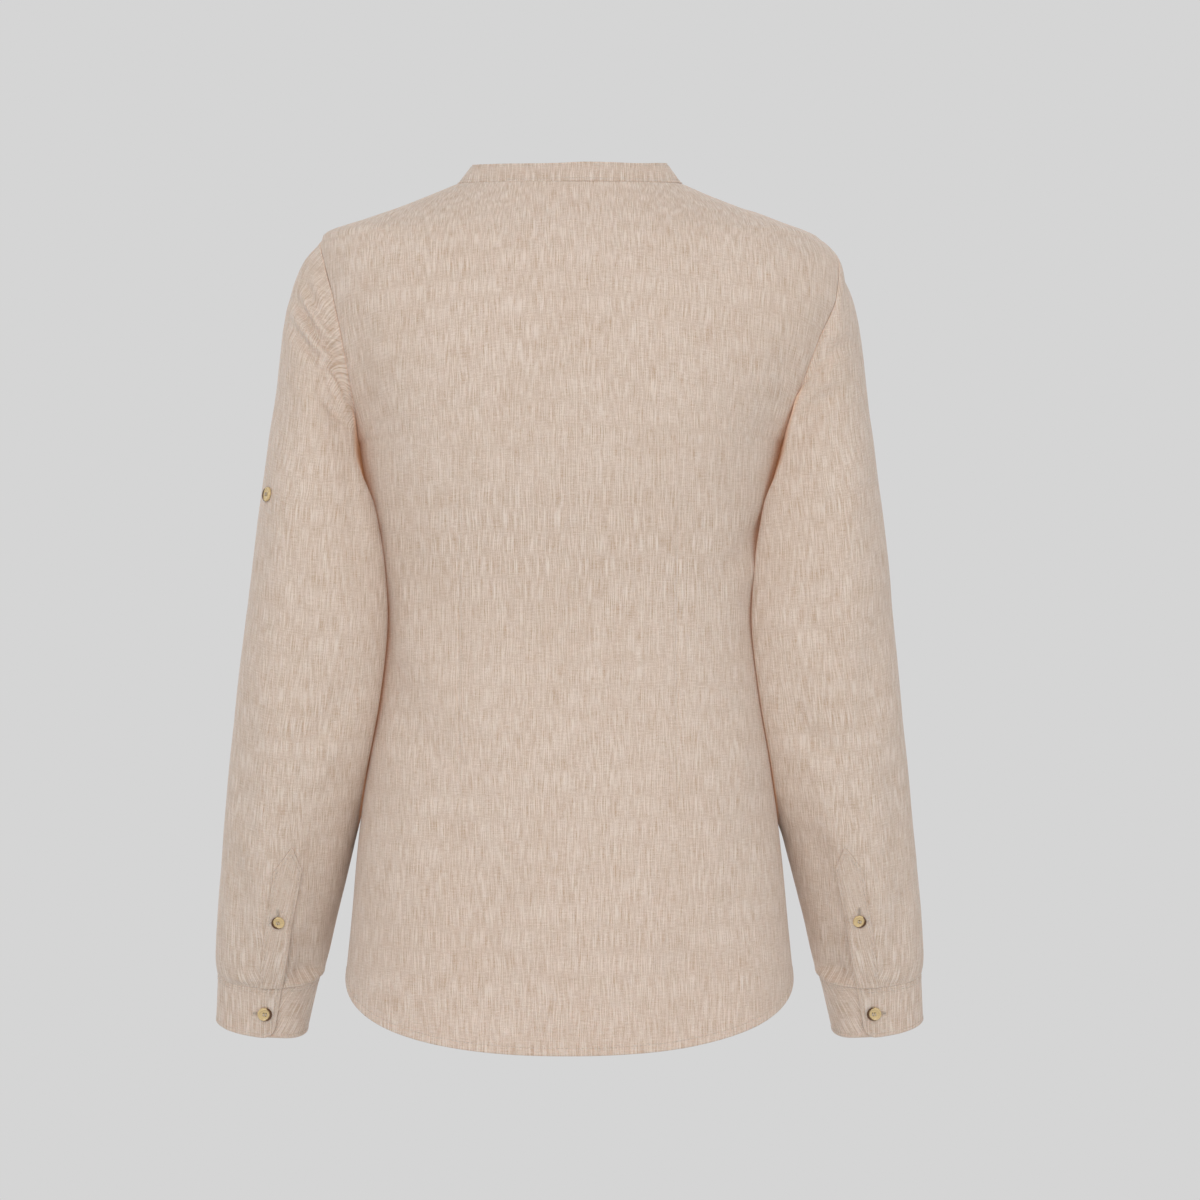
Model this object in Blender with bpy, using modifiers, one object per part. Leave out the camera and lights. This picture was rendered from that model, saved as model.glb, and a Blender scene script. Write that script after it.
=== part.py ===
"""Mandarin collar shirt with long sleeves, filled out as if worn.

Metres, +Z up.  The front faces -Y, the back +Y and the wearer's left is +X.  The origin is
the centre of the neck opening, level with the side of the collar seam.

Every cut piece is its own wall of cloth.  The body is a stack of plane sections, each a
rounded oval from the centre of the panel to its edge, and the edge runs from the hem up
the side seam, round the armhole and along the shoulder to the neck.  The sleeves are rings
that start on the armhole and turn down round the underarm.
"""

import math
from collections import namedtuple

import bpy
import numpy as np

MM = 0.001

# ---- Cloth and seams -----------------------------------------------------------------
CLOTH = 1.2 * MM            # wall of one layer of cloth
SEAM_GAP = 0.35 * MM        # between two pieces that are sewn together
SHOULDER_GAP = 1.1 * MM     # the same where the shoulder's crease brings the walls together
ARMHOLE_GAP = 2.0 * MM      # the same where the armhole seam turns over the shoulder
UNDERARM_GAP = 0.5 * MM     # the same at the foot of the armhole
NECK_GAP = 0.7 * MM         # the same round the neck
LAYER_GAP = 0.4 * MM        # between a piece and the one that it lies on
PLACKET_GAP = 0.6 * MM      # the same where the sleeve below it is curved
UNDERARM_CLEARANCE = 0.8 * MM  # between the sleeve and the body just below the armhole
SLEEVE_CLEARANCE = 1.6 * MM  # between the sleeve and the side of the body
CLEARANCE_STATIONS = 2.5    # how far down the sleeve the first gives way to the second
SLEEVE_BLEND = 3.0 * MM     # how softly the sleeve's ring turns to follow the body's side
BLEND_STATIONS = 3          # how far down the sleeve that softness grows

# ---- Body ----------------------------------------------------------------------------
BACK_ROUNDNESS = 2.3        # power of the oval sections, where 2 is an ellipse
FRONT_ROUNDNESS = 2.15
FRONT_LAP = 12 * MM         # how far each front runs past the centre line
LAP_RISE = 2.1 * MM         # how far the right front stands off the left one
LAP_RISE_START = 45 * MM    # from the centre line, where the right front starts to rise
ARMPIT = 9                  # station of the underarm point in BODY_ROWS
SHOULDER = 17               # station of the shoulder point
NECK = 20                   # station of the neck point

BodyRow = namedtuple("BodyRow", "edge_z left_x right_x back_edge_y front_edge_y "
                                "back_y back_z front_y front_z")
# One row for each station from the hem to the neck point, in millimetres.
BODY_ROWS = [
    BodyRow(-616, 174.0, 174.5, 0, 0, 117, -667, -117, -652),
    BodyRow(-572, 169.5, 170.0, 0, 0, 116, -602, -116, -594),
    BodyRow(-520, 165.0, 165.0, 0, 0, 113, -532, -114, -528),
    BodyRow(-460, 156.5, 156.5, 0, 0, 106, -463, -112, -463),
    BodyRow(-400, 148.5, 148.5, 0, 0, 97, -400, -110, -402),
    BodyRow(-341, 143.5, 143.5, 0, 0, 92, -341, -112, -345),
    BodyRow(-290, 147.0, 147.0, 0, 0, 98, -290, -121, -297),
    BodyRow(-250, 153.0, 153.0, 0, 0, 106, -250, -129, -258),
    BodyRow(-224, 158.5, 158.5, 0, 0, 110, -226, -129, -236),
    BodyRow(-207, 161.5, 163.0, 0, 0, 112, -208, -127, -222),
    BodyRow(-200.6, 162.5, 165.0, 20, -22, 113, -196, -125, -214),
    BodyRow(-182.5, 164.5, 171.0, 37, -41, 113, -180, -121, -203),
    BodyRow(-155.5, 169.0, 181.0, 48, -52, 113, -157, -114, -188),
    BodyRow(-123.5, 174.5, 193.0, 51, -56, 111, -127, -106, -170),
    BodyRow(-91.5, 181.5, 206.0, 47, -52, 106, -97, -98, -150),
    BodyRow(-64.5, 189.0, 208.5, 34, -41, 98, -70, -89, -131),
    BodyRow(-46.4, 193.0, 200.5, 15, -25, 90, -50, -82, -116),
    BodyRow(-40, 192.0, 195.5, -8, -8, 85, -40, -77, -107),
    BodyRow(-26.5, 157.5, 159.0, -8, -8, 76, -27, -70, -95),
    BodyRow(-13, 120.5, 121.5, -8, -8, 67, -15, -64, -83),
    BodyRow(0, 86.0, 87.0, -8, -8, 58, -4, -59, -72),
]
FRONT_DIP_BELOW = 1.0       # how a front row falls from edge to centre, below the armhole
FRONT_DIP_NECK = 1.45       # the same at the neck, where it leaves the shoulder level

# ---- Collar --------------------------------------------------------------------------
COLLAR_RISE = 15 * MM       # height of the band above its seam
COLLAR_LEAN_X = 0.128       # how far its top leans in, as a part of the neck's half width
COLLAR_LEAN_Y = 12.5 * MM   # the same at the centre back and front
COLLAR_END_GAP = 1.5 * MM   # from the centre line to each front end
COLLAR_CORNER = 9 * MM      # radius of the two front corners
COLLAR_ROWS = 3             # rows of points up the band

# ---- Sleeves -------------------------------------------------------------------------
SLEEVE_ROUNDNESS = 2.12
CUFF_SEAM = 16              # station of the cuff seam in SLEEVE_ROWS
CUFF_EDGE = 17              # station of the cuff's edge

SleeveRow = namedtuple("SleeveRow", "outer_x outer_z inner_x inner_z left_y right_y "
                                    "half_depth tilt armhole")
# One row for each ring, in millimetres and degrees: its outer and inner points, the depth
# of its middle on each side, half its depth, how far it tilts forward, and how much of the
# armhole's own shape it keeps.  A ring is 0 degrees outside, 90 at the back, 180 inside.
SLEEVE_ROWS = [
    SleeveRow(192.0, -40, 161.5, -207, -2, -2, 52, 0, 1.0),
    SleeveRow(205.0, -57, 162.3, -208.5, -1, -3, 54, 0, 0.68),
    SleeveRow(214.5, -80, 162.0, -211, 0, -4, 56, 0, 0.38),
    SleeveRow(221.0, -106, 160.5, -215.5, 1, -5, 57.5, 0, 0.16),
    SleeveRow(226.0, -138, 158.0, -221.5, 3, -6, 58.5, 0, 0.04),
    SleeveRow(231.0, -173, 154.5, -231, 5, -6, 59, 0, 0),
    SleeveRow(236.5, -212, 150.0, -245, 8, -6, 59.5, 0, 0),
    SleeveRow(242.5, -253, 145.0, -265, 11, -6, 60, -1, 0),
    SleeveRow(247.0, -293, 140.5, -296, 13, -6, 59.5, -1, 0),
    SleeveRow(251.5, -338, 139.0, -338, 14, -6, 58, 0, 0),
    SleeveRow(257.5, -388, 142.5, -388, 11, -9, 56, 3, 0),
    SleeveRow(263.5, -437, 150.5, -438, 3, -16, 54, 6, 0),
    SleeveRow(269.0, -485, 161.0, -486, -10, -24, 51.5, 9, 0),
    SleeveRow(274.0, -532, 173.0, -532, -25, -34, 48, 12, 0),
    SleeveRow(278.5, -575, 185.0, -577, -39, -45, 43.5, 14, 0),
    SleeveRow(280.5, -604, 192.0, -607, -48, -52, 38.5, 15, 0),
    SleeveRow(279.5, -620, 197.5, -623, -53, -56, 33.5, 15, 0),
    SleeveRow(282.0, -658.5, 208.5, -668, -65, -68, 29, 15, 0),
]

# ---- Cuffs and sleeve plackets, in degrees round the ring -------------------------------
OPENING_ANGLE = 108         # the free edge of the cuff and of the placket above it
CUFF_LAP = 30               # how far the cuff's under end runs on below the upper one
CUFF_DIVE = 30              # over how much of the ring it sinks to get there
CUFF_CORNER = 9 * MM
PLACKET_WIDTH = 24.5        # degrees from the free edge to the sewn edge
PLACKET_TOP = 12.45         # station of its point
PLACKET_SHOULDER = 12.85    # station where the straight sides begin
EXTRA_RING = 12.65          # station of the sleeve's added ring below the placket's point

# ---- Buttons -------------------------------------------------------------------------
BUTTON_RADIUS = 5.8 * MM
SMALL_BUTTON_RADIUS = 5.2 * MM
BUTTON_SEAT = 0.3 * MM      # from the cloth to the back of the button
FRONT_BUTTONS = 7
FRONT_BUTTON_TOP = -92 * MM
FRONT_BUTTON_PITCH = 84 * MM
CUFF_BUTTON = (93, 16.56)   # degrees round the ring, station along the sleeve
PLACKET_BUTTON = (94, 13.93)
TAB_BUTTON = {"left": (39, 6.75), "right": (-40, 6.75)}
ButtonPoint = namedtuple("ButtonPoint", "radius height")
# Half section of a button of radius 1, in parts of its radius, from the middle of its
# dished face out over the rim and back to the middle of its underside.
BUTTON_PROFILE = [
    ButtonPoint(0, 0.30),
    ButtonPoint(0.62, 0.30),
    ButtonPoint(0.84, 0.42),
    ButtonPoint(1.0, 0.28),
    ButtonPoint(0.95, 0.07),
    ButtonPoint(0.70, 0),
    ButtonPoint(0, 0),
]
BUTTON_STEPS = 12

# ---- How finely the pieces are faceted -----------------------------------------------
BACK_COLUMNS = 14
FRONT_COLUMNS = 7
ARMHOLE_COLUMNS = 12        # from the shoulder point to the underarm, on each half

LINEN = (0.585, 0.480, 0.397, 1.0)
LINEN_SHADE = (0.560, 0.455, 0.374, 1.0)
HORN = (0.60, 0.45, 0.28, 1.0)


# ---- Curves through the tables -------------------------------------------------------

def column(rows, name, station):
    """Value of a column at any station: a monotone cubic through the rows."""
    y = np.array([getattr(row, name) for row in rows], dtype=float)
    station = np.clip(np.asarray(station, dtype=float), 0, len(y) - 1)
    step = np.diff(y)
    before, after = step[:-1], step[1:]
    total = before + after
    slope = np.zeros_like(y)
    same_way = before * after > 0
    slope[1:-1][same_way] = (2 * before * after)[same_way] / total[same_way]
    slope[0], slope[-1] = step[0], step[-1]
    low = np.minimum(station.astype(int), len(y) - 2)
    t = station - low
    return ((1 + 2 * t) * (1 - t) ** 2 * y[low] + t * (1 - t) ** 2 * slope[low]
            + t * t * (3 - 2 * t) * y[low + 1] - t * t * (1 - t) * slope[low + 1])


def smoothstep(t):
    t = np.clip(t, 0, 1)
    return t * t * (3 - 2 * t)


def oval(angle, power):
    """Sine and cosine of an angle on a rounded oval of radius 1."""
    s, c = np.sin(angle), np.cos(angle)
    size = (np.abs(s) ** power + np.abs(c) ** power) ** (1 / power)
    return s / size, c / size


def oval_angle(across, power, deep=1.0):
    """Angle at which the oval is that far across, on its near or far half."""
    rest = (1 - np.minimum(np.abs(across), 1) ** power) ** (1 / power)
    return np.arctan2(across, deep * rest)


# ---- Body ----------------------------------------------------------------------------

def body_row(panel, station):
    """Edge and centre of a panel's row, the angle from one to the other, and its power."""
    edge_y = column(BODY_ROWS, panel + "_edge_y", station) * MM
    edge_z = column(BODY_ROWS, "edge_z", station) * MM
    centre_y = column(BODY_ROWS, panel + "_y", station) * MM
    centre_z = column(BODY_ROWS, panel + "_z", station) * MM
    power = BACK_ROUNDNESS if panel == "back" else FRONT_ROUNDNESS
    depth = edge_y / centre_y
    wrap = np.arctan2((1 - np.abs(depth) ** power) ** (1 / power), depth)
    return edge_y, edge_z, centre_y, centre_z, wrap, power


def edge_x(across, station):
    """Half width at the station, on the side that the sign of across gives."""
    left = column(BODY_ROWS, "left_x", station)
    right = column(BODY_ROWS, "right_x", station)
    return np.where(across >= 0, left, right) * MM


def body_point(panel, across, station):
    """Point of a panel: across is -1 at the right edge, 0 at the centre, 1 at the left."""
    across, station = np.broadcast_arrays(across, station)
    edge_y, edge_z, centre_y, centre_z, wrap, power = body_row(panel, station)
    s, c = oval(across * wrap, power)
    s_edge, c_edge = oval(wrap, power)
    x = edge_x(across, station) * s / s_edge
    y = centre_y * c
    dip = 1.0
    if panel == "front":
        upper = smoothstep((station - ARMPIT) / (NECK - ARMPIT))
        dip = FRONT_DIP_BELOW + (FRONT_DIP_NECK - FRONT_DIP_BELOW) * upper
    fall = np.clip((c - c_edge) / (1 - c_edge), 0, 1) ** dip
    z = edge_z + (centre_z - edge_z) * fall
    return np.stack([x, y, z], axis=-1)


def front_across(x, station):
    """The front panel's across value at a distance from the centre line."""
    wrap, power = body_row("front", station)[4:]
    s_edge = oval(wrap, power)[0]
    return oval_angle(x * s_edge / edge_x(np.asarray(x), station), power) / wrap


def front_point(side, across, station):
    """Point of one front: the right one rises near the centre to lie on the left one."""
    points = body_point("front", across, station)
    if side == "right":
        rise = smoothstep((points[..., 0] + LAP_RISE_START) / (LAP_RISE_START - FRONT_LAP))
        points[..., 1] -= LAP_RISE * rise
    return points


def stations_of_body():
    """Rows of the body's pieces: plain below the armhole, matched to the sleeve along it."""
    below = np.arange(0, ARMPIT)
    armhole = np.linspace(ARMPIT, SHOULDER, ARMHOLE_COLUMNS + 1)
    above = np.arange(SHOULDER + 1, NECK + 1)
    return np.concatenate([below, armhole, above])


def edge_trim(panel, station):
    """Across value of half a seam gap, so that sewn edges stay apart."""
    a = body_point(panel, np.full_like(station, 0.98), station)
    b = body_point(panel, np.full_like(station, 1.0), station)
    per_unit = np.linalg.norm(b - a, axis=-1) / 0.02
    gap = np.where(station > SHOULDER - 1, SHOULDER_GAP, SEAM_GAP)
    return 0.5 * gap / per_unit


# ---- Sleeves -------------------------------------------------------------------------

def armhole_point(side, angle):
    """Point of the armhole edge: 0 at the shoulder, 180 degrees at the underarm."""
    turn = np.mod(angle, 2 * math.pi)
    at_back = turn <= math.pi
    part = np.where(at_back, 1 - turn / math.pi, turn / math.pi - 1)
    station = ARMPIT + (SHOULDER - ARMPIT) * part
    across = 1.0 if side == "left" else -1.0
    back = body_point("back", across, station)
    front = body_point("front", across, station)
    return np.where(at_back[..., None], back, front)


def plain_ring(side, angle, station):
    """Point of the sleeve's oval ring, before the armhole and the body press on it."""
    outer_x = column(SLEEVE_ROWS, "outer_x", station) * MM
    outer_z = column(SLEEVE_ROWS, "outer_z", station) * MM
    inner_x = column(SLEEVE_ROWS, "inner_x", station) * MM
    inner_z = column(SLEEVE_ROWS, "inner_z", station) * MM
    middle_y = column(SLEEVE_ROWS, side + "_y", station) * MM
    half_depth = column(SLEEVE_ROWS, "half_depth", station) * MM
    tilt = np.radians(column(SLEEVE_ROWS, "tilt", station))
    s, c = oval(angle, SLEEVE_ROUNDNESS)
    x = (outer_x + inner_x) / 2 + c * (outer_x - inner_x) / 2
    y = middle_y + s * half_depth * np.cos(tilt)
    z = (outer_z + inner_z) / 2 + c * (outer_z - inner_z) / 2 - s * half_depth * np.sin(tilt)
    if side == "right":
        x = -x
    return np.stack([x, y, z], axis=-1)


def body_side(side, y, z):
    """Half width of the body at a depth and a height; above the underarm, at any depth."""
    heights = np.array([row.edge_z for row in BODY_ROWS[:SHOULDER]]) * MM
    station = np.interp(z, heights, np.arange(SHOULDER))
    half = column(BODY_ROWS, side + "_x", station) * MM
    depth = np.where(y > 0, column(BODY_ROWS, "back_y", station),
                     -column(BODY_ROWS, "front_y", station)) * MM
    part = np.clip(np.abs(y) / depth, 0, 1) * (station < ARMPIT)
    return half * (1 - part ** BACK_ROUNDNESS) ** (1 / BACK_ROUNDNESS)


def sleeve_point(side, angle, station):
    """Point of the sleeve: the ring, with the armhole's shape fading out of the first ones,
    and its inner side kept clear of the body by a rounded maximum."""
    angle, station = np.broadcast_arrays(angle, np.asarray(station, dtype=float))
    start = plain_ring(side, angle, np.zeros_like(station))
    kept = column(SLEEVE_ROWS, "armhole", station)[..., None]
    points = plain_ring(side, angle, station) + kept * (armhole_point(side, angle) - start)
    sign = 1.0 if side == "left" else -1.0
    more = SLEEVE_CLEARANCE - UNDERARM_CLEARANCE
    clearance = UNDERARM_CLEARANCE + more * smoothstep(station / CLEARANCE_STATIONS)
    wall = body_side(side, points[..., 1], points[..., 2]) + clearance
    outward = sign * points[..., 0]
    blend = SLEEVE_BLEND * smoothstep(station / BLEND_STATIONS)
    rounded = (outward + wall + np.sqrt((outward - wall) ** 2 + blend ** 2)) / 2
    points[..., 0] = sign * rounded
    return points


def normals_of(surface, angle, station):
    """Outward unit normals of a surface of an angle and a station, by small steps."""
    step_a, step_s = 1e-3, 1e-3
    along_a = surface(angle + step_a, station) - surface(angle - step_a, station)
    along_s = surface(angle, station + step_s) - surface(angle, station - step_s)
    normal = np.cross(along_a, along_s)
    return normal / np.linalg.norm(normal, axis=-1, keepdims=True)


def sleeve_frame(side, angle, station):
    """Point and outward normal on the sleeve."""
    def surface(a, s):
        return sleeve_point(side, a, s)
    normal = normals_of(surface, angle, station)
    if side == "left":
        normal = -normal
    return surface(angle, station), normal


# ---- Making objects ------------------------------------------------------------------

def clear_scene():
    for obj in list(bpy.data.objects):
        bpy.data.objects.remove(obj, do_unlink=True)


def make_material(name, colour, roughness):
    material = bpy.data.materials.new(name)
    material.use_nodes = True
    shader = material.node_tree.nodes["Principled BSDF"]
    shader.inputs["Base Color"].default_value = colour
    shader.inputs["Roughness"].default_value = roughness
    shader.inputs["Metallic"].default_value = 0.0
    material.diffuse_color = colour
    return material


def grid_faces(rows, columns, closed, flip):
    """Quads of a grid of rows by columns of points; closed joins the last column to the
    first, and flip turns the faces over."""
    index = np.arange(rows * columns).reshape(rows, columns)
    right = np.roll(index, -1, axis=1) if closed else index[:, 1:]
    left = index if closed else index[:, :-1]
    quads = np.stack([left[:-1], right[:-1], right[1:], left[1:]], axis=-1).reshape(-1, 4)
    if flip:
        quads = quads[:, ::-1]
    return quads.tolist()


def cloth_piece(name, points, colour, collection, closed=False, flip=False):
    """A wall of cloth behind a grid of points on its outer side."""
    rows, columns = points.shape[:2]
    mesh = bpy.data.meshes.new(name)
    mesh.from_pydata(points.reshape(-1, 3).tolist(), [],
                     grid_faces(rows, columns, closed, flip))
    mesh.shade_smooth()
    obj = bpy.data.objects.new(name, mesh)
    collection.objects.link(obj)
    wall = obj.modifiers.new("Cloth", "SOLIDIFY")
    wall.thickness = CLOTH
    wall.offset = -1
    obj.data.materials.append(make_material(name + "_linen", colour, 0.85))
    return obj


def make_back(collection):
    station = stations_of_body()[:, None]
    trim = edge_trim("back", station)
    across = np.linspace(-1, 1, BACK_COLUMNS + 1)[None, :] * (1 - trim)
    cloth_piece("back", body_point("back", across, station), LINEN, collection, flip=True)


def front_columns(side, station):
    """Across values of a front, from its edge beyond the centre line to its side seam."""
    sign = 1.0 if side == "left" else -1.0
    trim = edge_trim("front", station)
    lap = front_across(-sign * FRONT_LAP * np.ones_like(station), station)
    part = np.linspace(0, 1, FRONT_COLUMNS + 2)[None, :]
    return lap + (sign * (1 - trim) - lap) * part


def make_front(side, collection):
    """A front runs from its side seam past the centre line by the lap."""
    station = stations_of_body()[:, None]
    points = front_point(side, front_columns(side, station), station)
    cloth_piece("front_" + side, points, LINEN, collection, flip=(side == "right"))


def collar_base():
    """Points of the collar seam from the left front end round the back to the right one,
    with how far each lies towards the centre back or front."""
    neck = np.array([[float(NECK)]])
    ends = []
    first = np.array([[COLLAR_END_GAP, COLLAR_END_GAP + COLLAR_CORNER / 4]])
    for side, sign in (("left", 1.0), ("right", -1.0)):
        corner = front_across(sign * first, neck)[0]
        rest = front_columns(side, neck)[0, 2:]
        across = np.concatenate([corner, rest])
        ends.append(front_point(side, across, float(NECK)))
    back = body_point("back", np.linspace(1, -1, BACK_COLUMNS + 1), float(NECK))
    left, right = ends
    return np.concatenate([left[:-1], back, right[:-1][::-1]])


def collar_point(base, height):
    """The band leans in as it rises: x shrinks in proportion, y by up to a fixed amount."""
    neck = BODY_ROWS[NECK]
    depth = np.where(base[:, 1] > 0, neck.back_y, -neck.front_y) * MM
    toward = np.clip(base[:, 1] / depth, -1, 1)
    points = base.copy()
    points[:, 0] *= 1 - COLLAR_LEAN_X * height
    points[:, 1] -= COLLAR_LEAN_Y * toward * height
    points[:, 2] += NECK_GAP + COLLAR_RISE * height
    return points


def make_collar(collection):
    """The band is lower at its two front ends, where its corners are rounded."""
    base = collar_base()
    band_height = math.hypot(COLLAR_RISE, COLLAR_LEAN_Y)
    seam = np.linalg.norm(np.diff(base, axis=0), axis=1)
    along = np.concatenate([[0], np.cumsum(seam)])
    from_end = np.minimum(along, along[-1] - along)
    cut = np.clip(COLLAR_CORNER - from_end, 0, COLLAR_CORNER)
    drop = COLLAR_CORNER - np.sqrt(COLLAR_CORNER ** 2 - cut ** 2)
    share = (1 - drop / band_height)[:, None]
    foot = collar_point(base, 0.0)
    rows = [foot + (collar_point(base, height) - foot) * share
            for height in np.linspace(0, 1, COLLAR_ROWS)]
    cloth_piece("collar", np.stack(rows), LINEN_SHADE, collection)


def ring_angles():
    """Angles of the sleeve's columns, two halves that match the armhole's rows."""
    return np.linspace(0, 2 * math.pi, 2 * ARMHOLE_COLUMNS, endpoint=False)


def make_sleeve(side, collection):
    station = np.sort(np.append(np.arange(CUFF_SEAM + 1.0), EXTRA_RING))[:, None]
    angle = ring_angles()[None, :]
    points = sleeve_point(side, angle, station)
    leaving = points[1] - points[0]
    leaving = leaving / np.linalg.norm(leaving, axis=-1, keepdims=True)
    toward_shoulder = (1 + np.cos(angle)) / 2
    gap = UNDERARM_GAP + (ARMHOLE_GAP - UNDERARM_GAP) * toward_shoulder
    points[0] += gap[0, :, None] * leaving
    points[-1, :, 2] += SEAM_GAP
    cloth_piece("sleeve_" + side, points, LINEN, collection, closed=True,
                flip=(side == "left"))


def cuff_columns():
    """Angles of the cuff in degrees, from its free edge round to the end below it."""
    near_edge = np.array([0, 2, 5, 9])
    steps = np.arange(15, 360 + CUFF_LAP + 1, 15)
    return OPENING_ANGLE - np.concatenate([near_edge, steps])


def cuff_sink(turned):
    """How far the cuff lies inside its outer layer, after turning so many degrees."""
    start = 360 - CUFF_DIVE
    return (CLOTH + LAYER_GAP) * smoothstep((turned - start) / CUFF_DIVE)


def make_cuff(side, collection):
    """The cuff goes round once and on below its own free edge, whose corner is rounded."""
    degrees = cuff_columns()
    angle = np.radians(degrees)[None, :]
    turned = OPENING_ANGLE - degrees
    heights = np.linspace(0, 1, 3)[:, None]
    station = CUFF_SEAM + heights * (CUFF_EDGE - CUFF_SEAM) + np.zeros_like(angle)
    ring = sleeve_frame(side, np.broadcast_to(angle, station.shape), station)[0]
    along = np.linalg.norm(ring[-1] - ring[-1, :1], axis=-1)
    cut = np.clip(CUFF_CORNER - along, 0, CUFF_CORNER)
    cut[turned > 90] = 0
    length = np.linalg.norm(ring[-1] - ring[0], axis=-1)
    drop = (CUFF_CORNER - np.sqrt(CUFF_CORNER ** 2 - cut ** 2)) / length
    station = CUFF_SEAM + heights * (CUFF_EDGE - CUFF_SEAM) * (1 - drop[None, :])
    points, normal = sleeve_frame(side, np.broadcast_to(angle, station.shape), station)
    points = points - normal * cuff_sink(turned)[None, :, None]
    points[0, :, 2] -= SEAM_GAP
    cloth_piece("cuff_" + side, points, LINEN_SHADE, collection, flip=(side == "right"))


def make_placket(side, collection):
    """The pointed strip over the sleeve's opening, from the sleeve's points moved out."""
    across = np.linspace(0, 1, 5)[None, :]
    peak = 1 - np.abs(2 * across - 1)
    top = PLACKET_SHOULDER + (PLACKET_TOP - PLACKET_SHOULDER) * peak
    below = np.array([13, 14, 15, CUFF_SEAM - 0.02])[:, None] + np.zeros_like(across)
    station = np.concatenate([top, below])
    angle = np.radians(OPENING_ANGLE - PLACKET_WIDTH * across) + np.zeros_like(station)
    points, normal = sleeve_frame(side, angle, station)
    points = points + normal * (CLOTH + PLACKET_GAP)
    cloth_piece("sleeve_placket_" + side, points, LINEN_SHADE, collection,
                flip=(side == "right"))


def make_button(name, place, normal, radius, collection):
    """A turned button with a dished face, lying on the cloth."""
    mesh = bpy.data.meshes.new(name)
    profile = [(p.radius * radius, 0, p.height * radius) for p in BUTTON_PROFILE]
    edges = [(i, i + 1) for i in range(len(profile) - 1)]
    mesh.from_pydata(profile, edges, [])
    obj = bpy.data.objects.new(name, mesh)
    collection.objects.link(obj)
    turn = obj.modifiers.new("Turn", "SCREW")
    turn.steps = BUTTON_STEPS
    turn.render_steps = BUTTON_STEPS
    turn.use_merge_vertices = True
    turn.merge_threshold = 0.00005
    turn.use_smooth_shade = True
    x, y, z = normal
    obj.location = [p + n * BUTTON_SEAT for p, n in zip(place, normal)]
    obj.rotation_euler = (0, math.acos(max(-1.0, min(1.0, z))), math.atan2(y, x))
    obj.data.materials.append(make_material(name + "_horn", HORN, 0.35))
    return obj


def front_frame(z):
    """Point and outward normal on the centre line of the right front at a height."""
    stations = np.linspace(0, NECK, 400)
    line = front_point("right", np.zeros_like(stations), stations)
    place = np.array([np.interp(z, line[:, 2], line[:, k]) for k in range(3)])
    above = np.interp(z + 2 * MM, line[:, 2], line[:, 1])
    below = np.interp(z - 2 * MM, line[:, 2], line[:, 1])
    slope = (above - below) / (4 * MM)
    normal = np.array([0, -1, slope]) / math.hypot(1, slope)
    return place, normal


def make_buttons(collection):
    for i in range(FRONT_BUTTONS):
        place, normal = front_frame(FRONT_BUTTON_TOP - i * FRONT_BUTTON_PITCH)
        make_button("button_front_%d" % (i + 1), place, normal, BUTTON_RADIUS, collection)
    for side in ("left", "right"):
        spots = (
            ("cuff", CUFF_BUTTON, 0.0, BUTTON_RADIUS),
            ("placket", PLACKET_BUTTON, CLOTH + PLACKET_GAP, SMALL_BUTTON_RADIUS),
            ("tab", TAB_BUTTON[side], 0.0, BUTTON_RADIUS),
        )
        for kind, (degrees, station), lift, radius in spots:
            place, normal = sleeve_frame(side, np.array(math.radians(degrees)),
                                         np.array(float(station)))
            name = "button_%s_%s" % (kind, side)
            make_button(name, place + normal * lift, normal, radius, collection)


def main():
    clear_scene()
    collection = bpy.data.collections.new("mandarin_collar_shirt")
    bpy.context.scene.collection.children.link(collection)
    make_back(collection)
    for side in ("left", "right"):
        make_front(side, collection)
        make_sleeve(side, collection)
        make_cuff(side, collection)
        make_placket(side, collection)
    make_collar(collection)
    make_buttons(collection)


main()
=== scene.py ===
"""Mandarin collar shirt, filled out as if worn: the cloth, stitches, buttons and stage.

The shirt is a set of surfaces of two parameters.  A body panel's point comes from its
across value (-1 at the right edge, 0 at the centre, 1 at the left edge) and its station
(from 0 at the hem, round the armhole, to 20 at the neck).  A sleeve's point comes from its
angle (0 at the outside, 90 at the back, 180 against the body) and its station (0 at the
armhole, 16 at the cuff seam, 17 at the cuff's edge).  Folds, darts and seams move a point
along its normal.
"""

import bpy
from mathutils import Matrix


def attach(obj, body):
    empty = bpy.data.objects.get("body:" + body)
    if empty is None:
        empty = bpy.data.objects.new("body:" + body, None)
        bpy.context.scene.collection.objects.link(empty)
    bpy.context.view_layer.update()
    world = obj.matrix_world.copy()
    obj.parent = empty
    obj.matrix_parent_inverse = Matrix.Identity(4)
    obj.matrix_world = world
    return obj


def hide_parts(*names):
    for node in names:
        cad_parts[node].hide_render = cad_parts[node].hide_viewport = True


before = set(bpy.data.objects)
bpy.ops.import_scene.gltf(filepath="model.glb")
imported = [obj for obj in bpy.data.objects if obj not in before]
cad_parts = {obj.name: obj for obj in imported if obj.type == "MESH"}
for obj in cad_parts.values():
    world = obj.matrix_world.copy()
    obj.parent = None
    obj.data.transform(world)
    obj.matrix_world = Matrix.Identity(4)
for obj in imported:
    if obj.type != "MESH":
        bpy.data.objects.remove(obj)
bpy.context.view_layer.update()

import math
from collections import namedtuple

import bmesh
import bpy
import numpy as np
from bpy.props import FloatProperty, FloatVectorProperty, PointerProperty
from bpy.types import Operator, Panel, PropertyGroup
from mathutils import Vector

bl_info = {
    "name": "Mandarin Collar Shirt",
    "version": (1, 0, 0),
    "blender": (4, 5, 0),
    "location": "View3D > Sidebar > Shirt",
    "description": "Finishes a worn linen shirt with a mandarin collar round its frame",
    "category": "Object",
}

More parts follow.
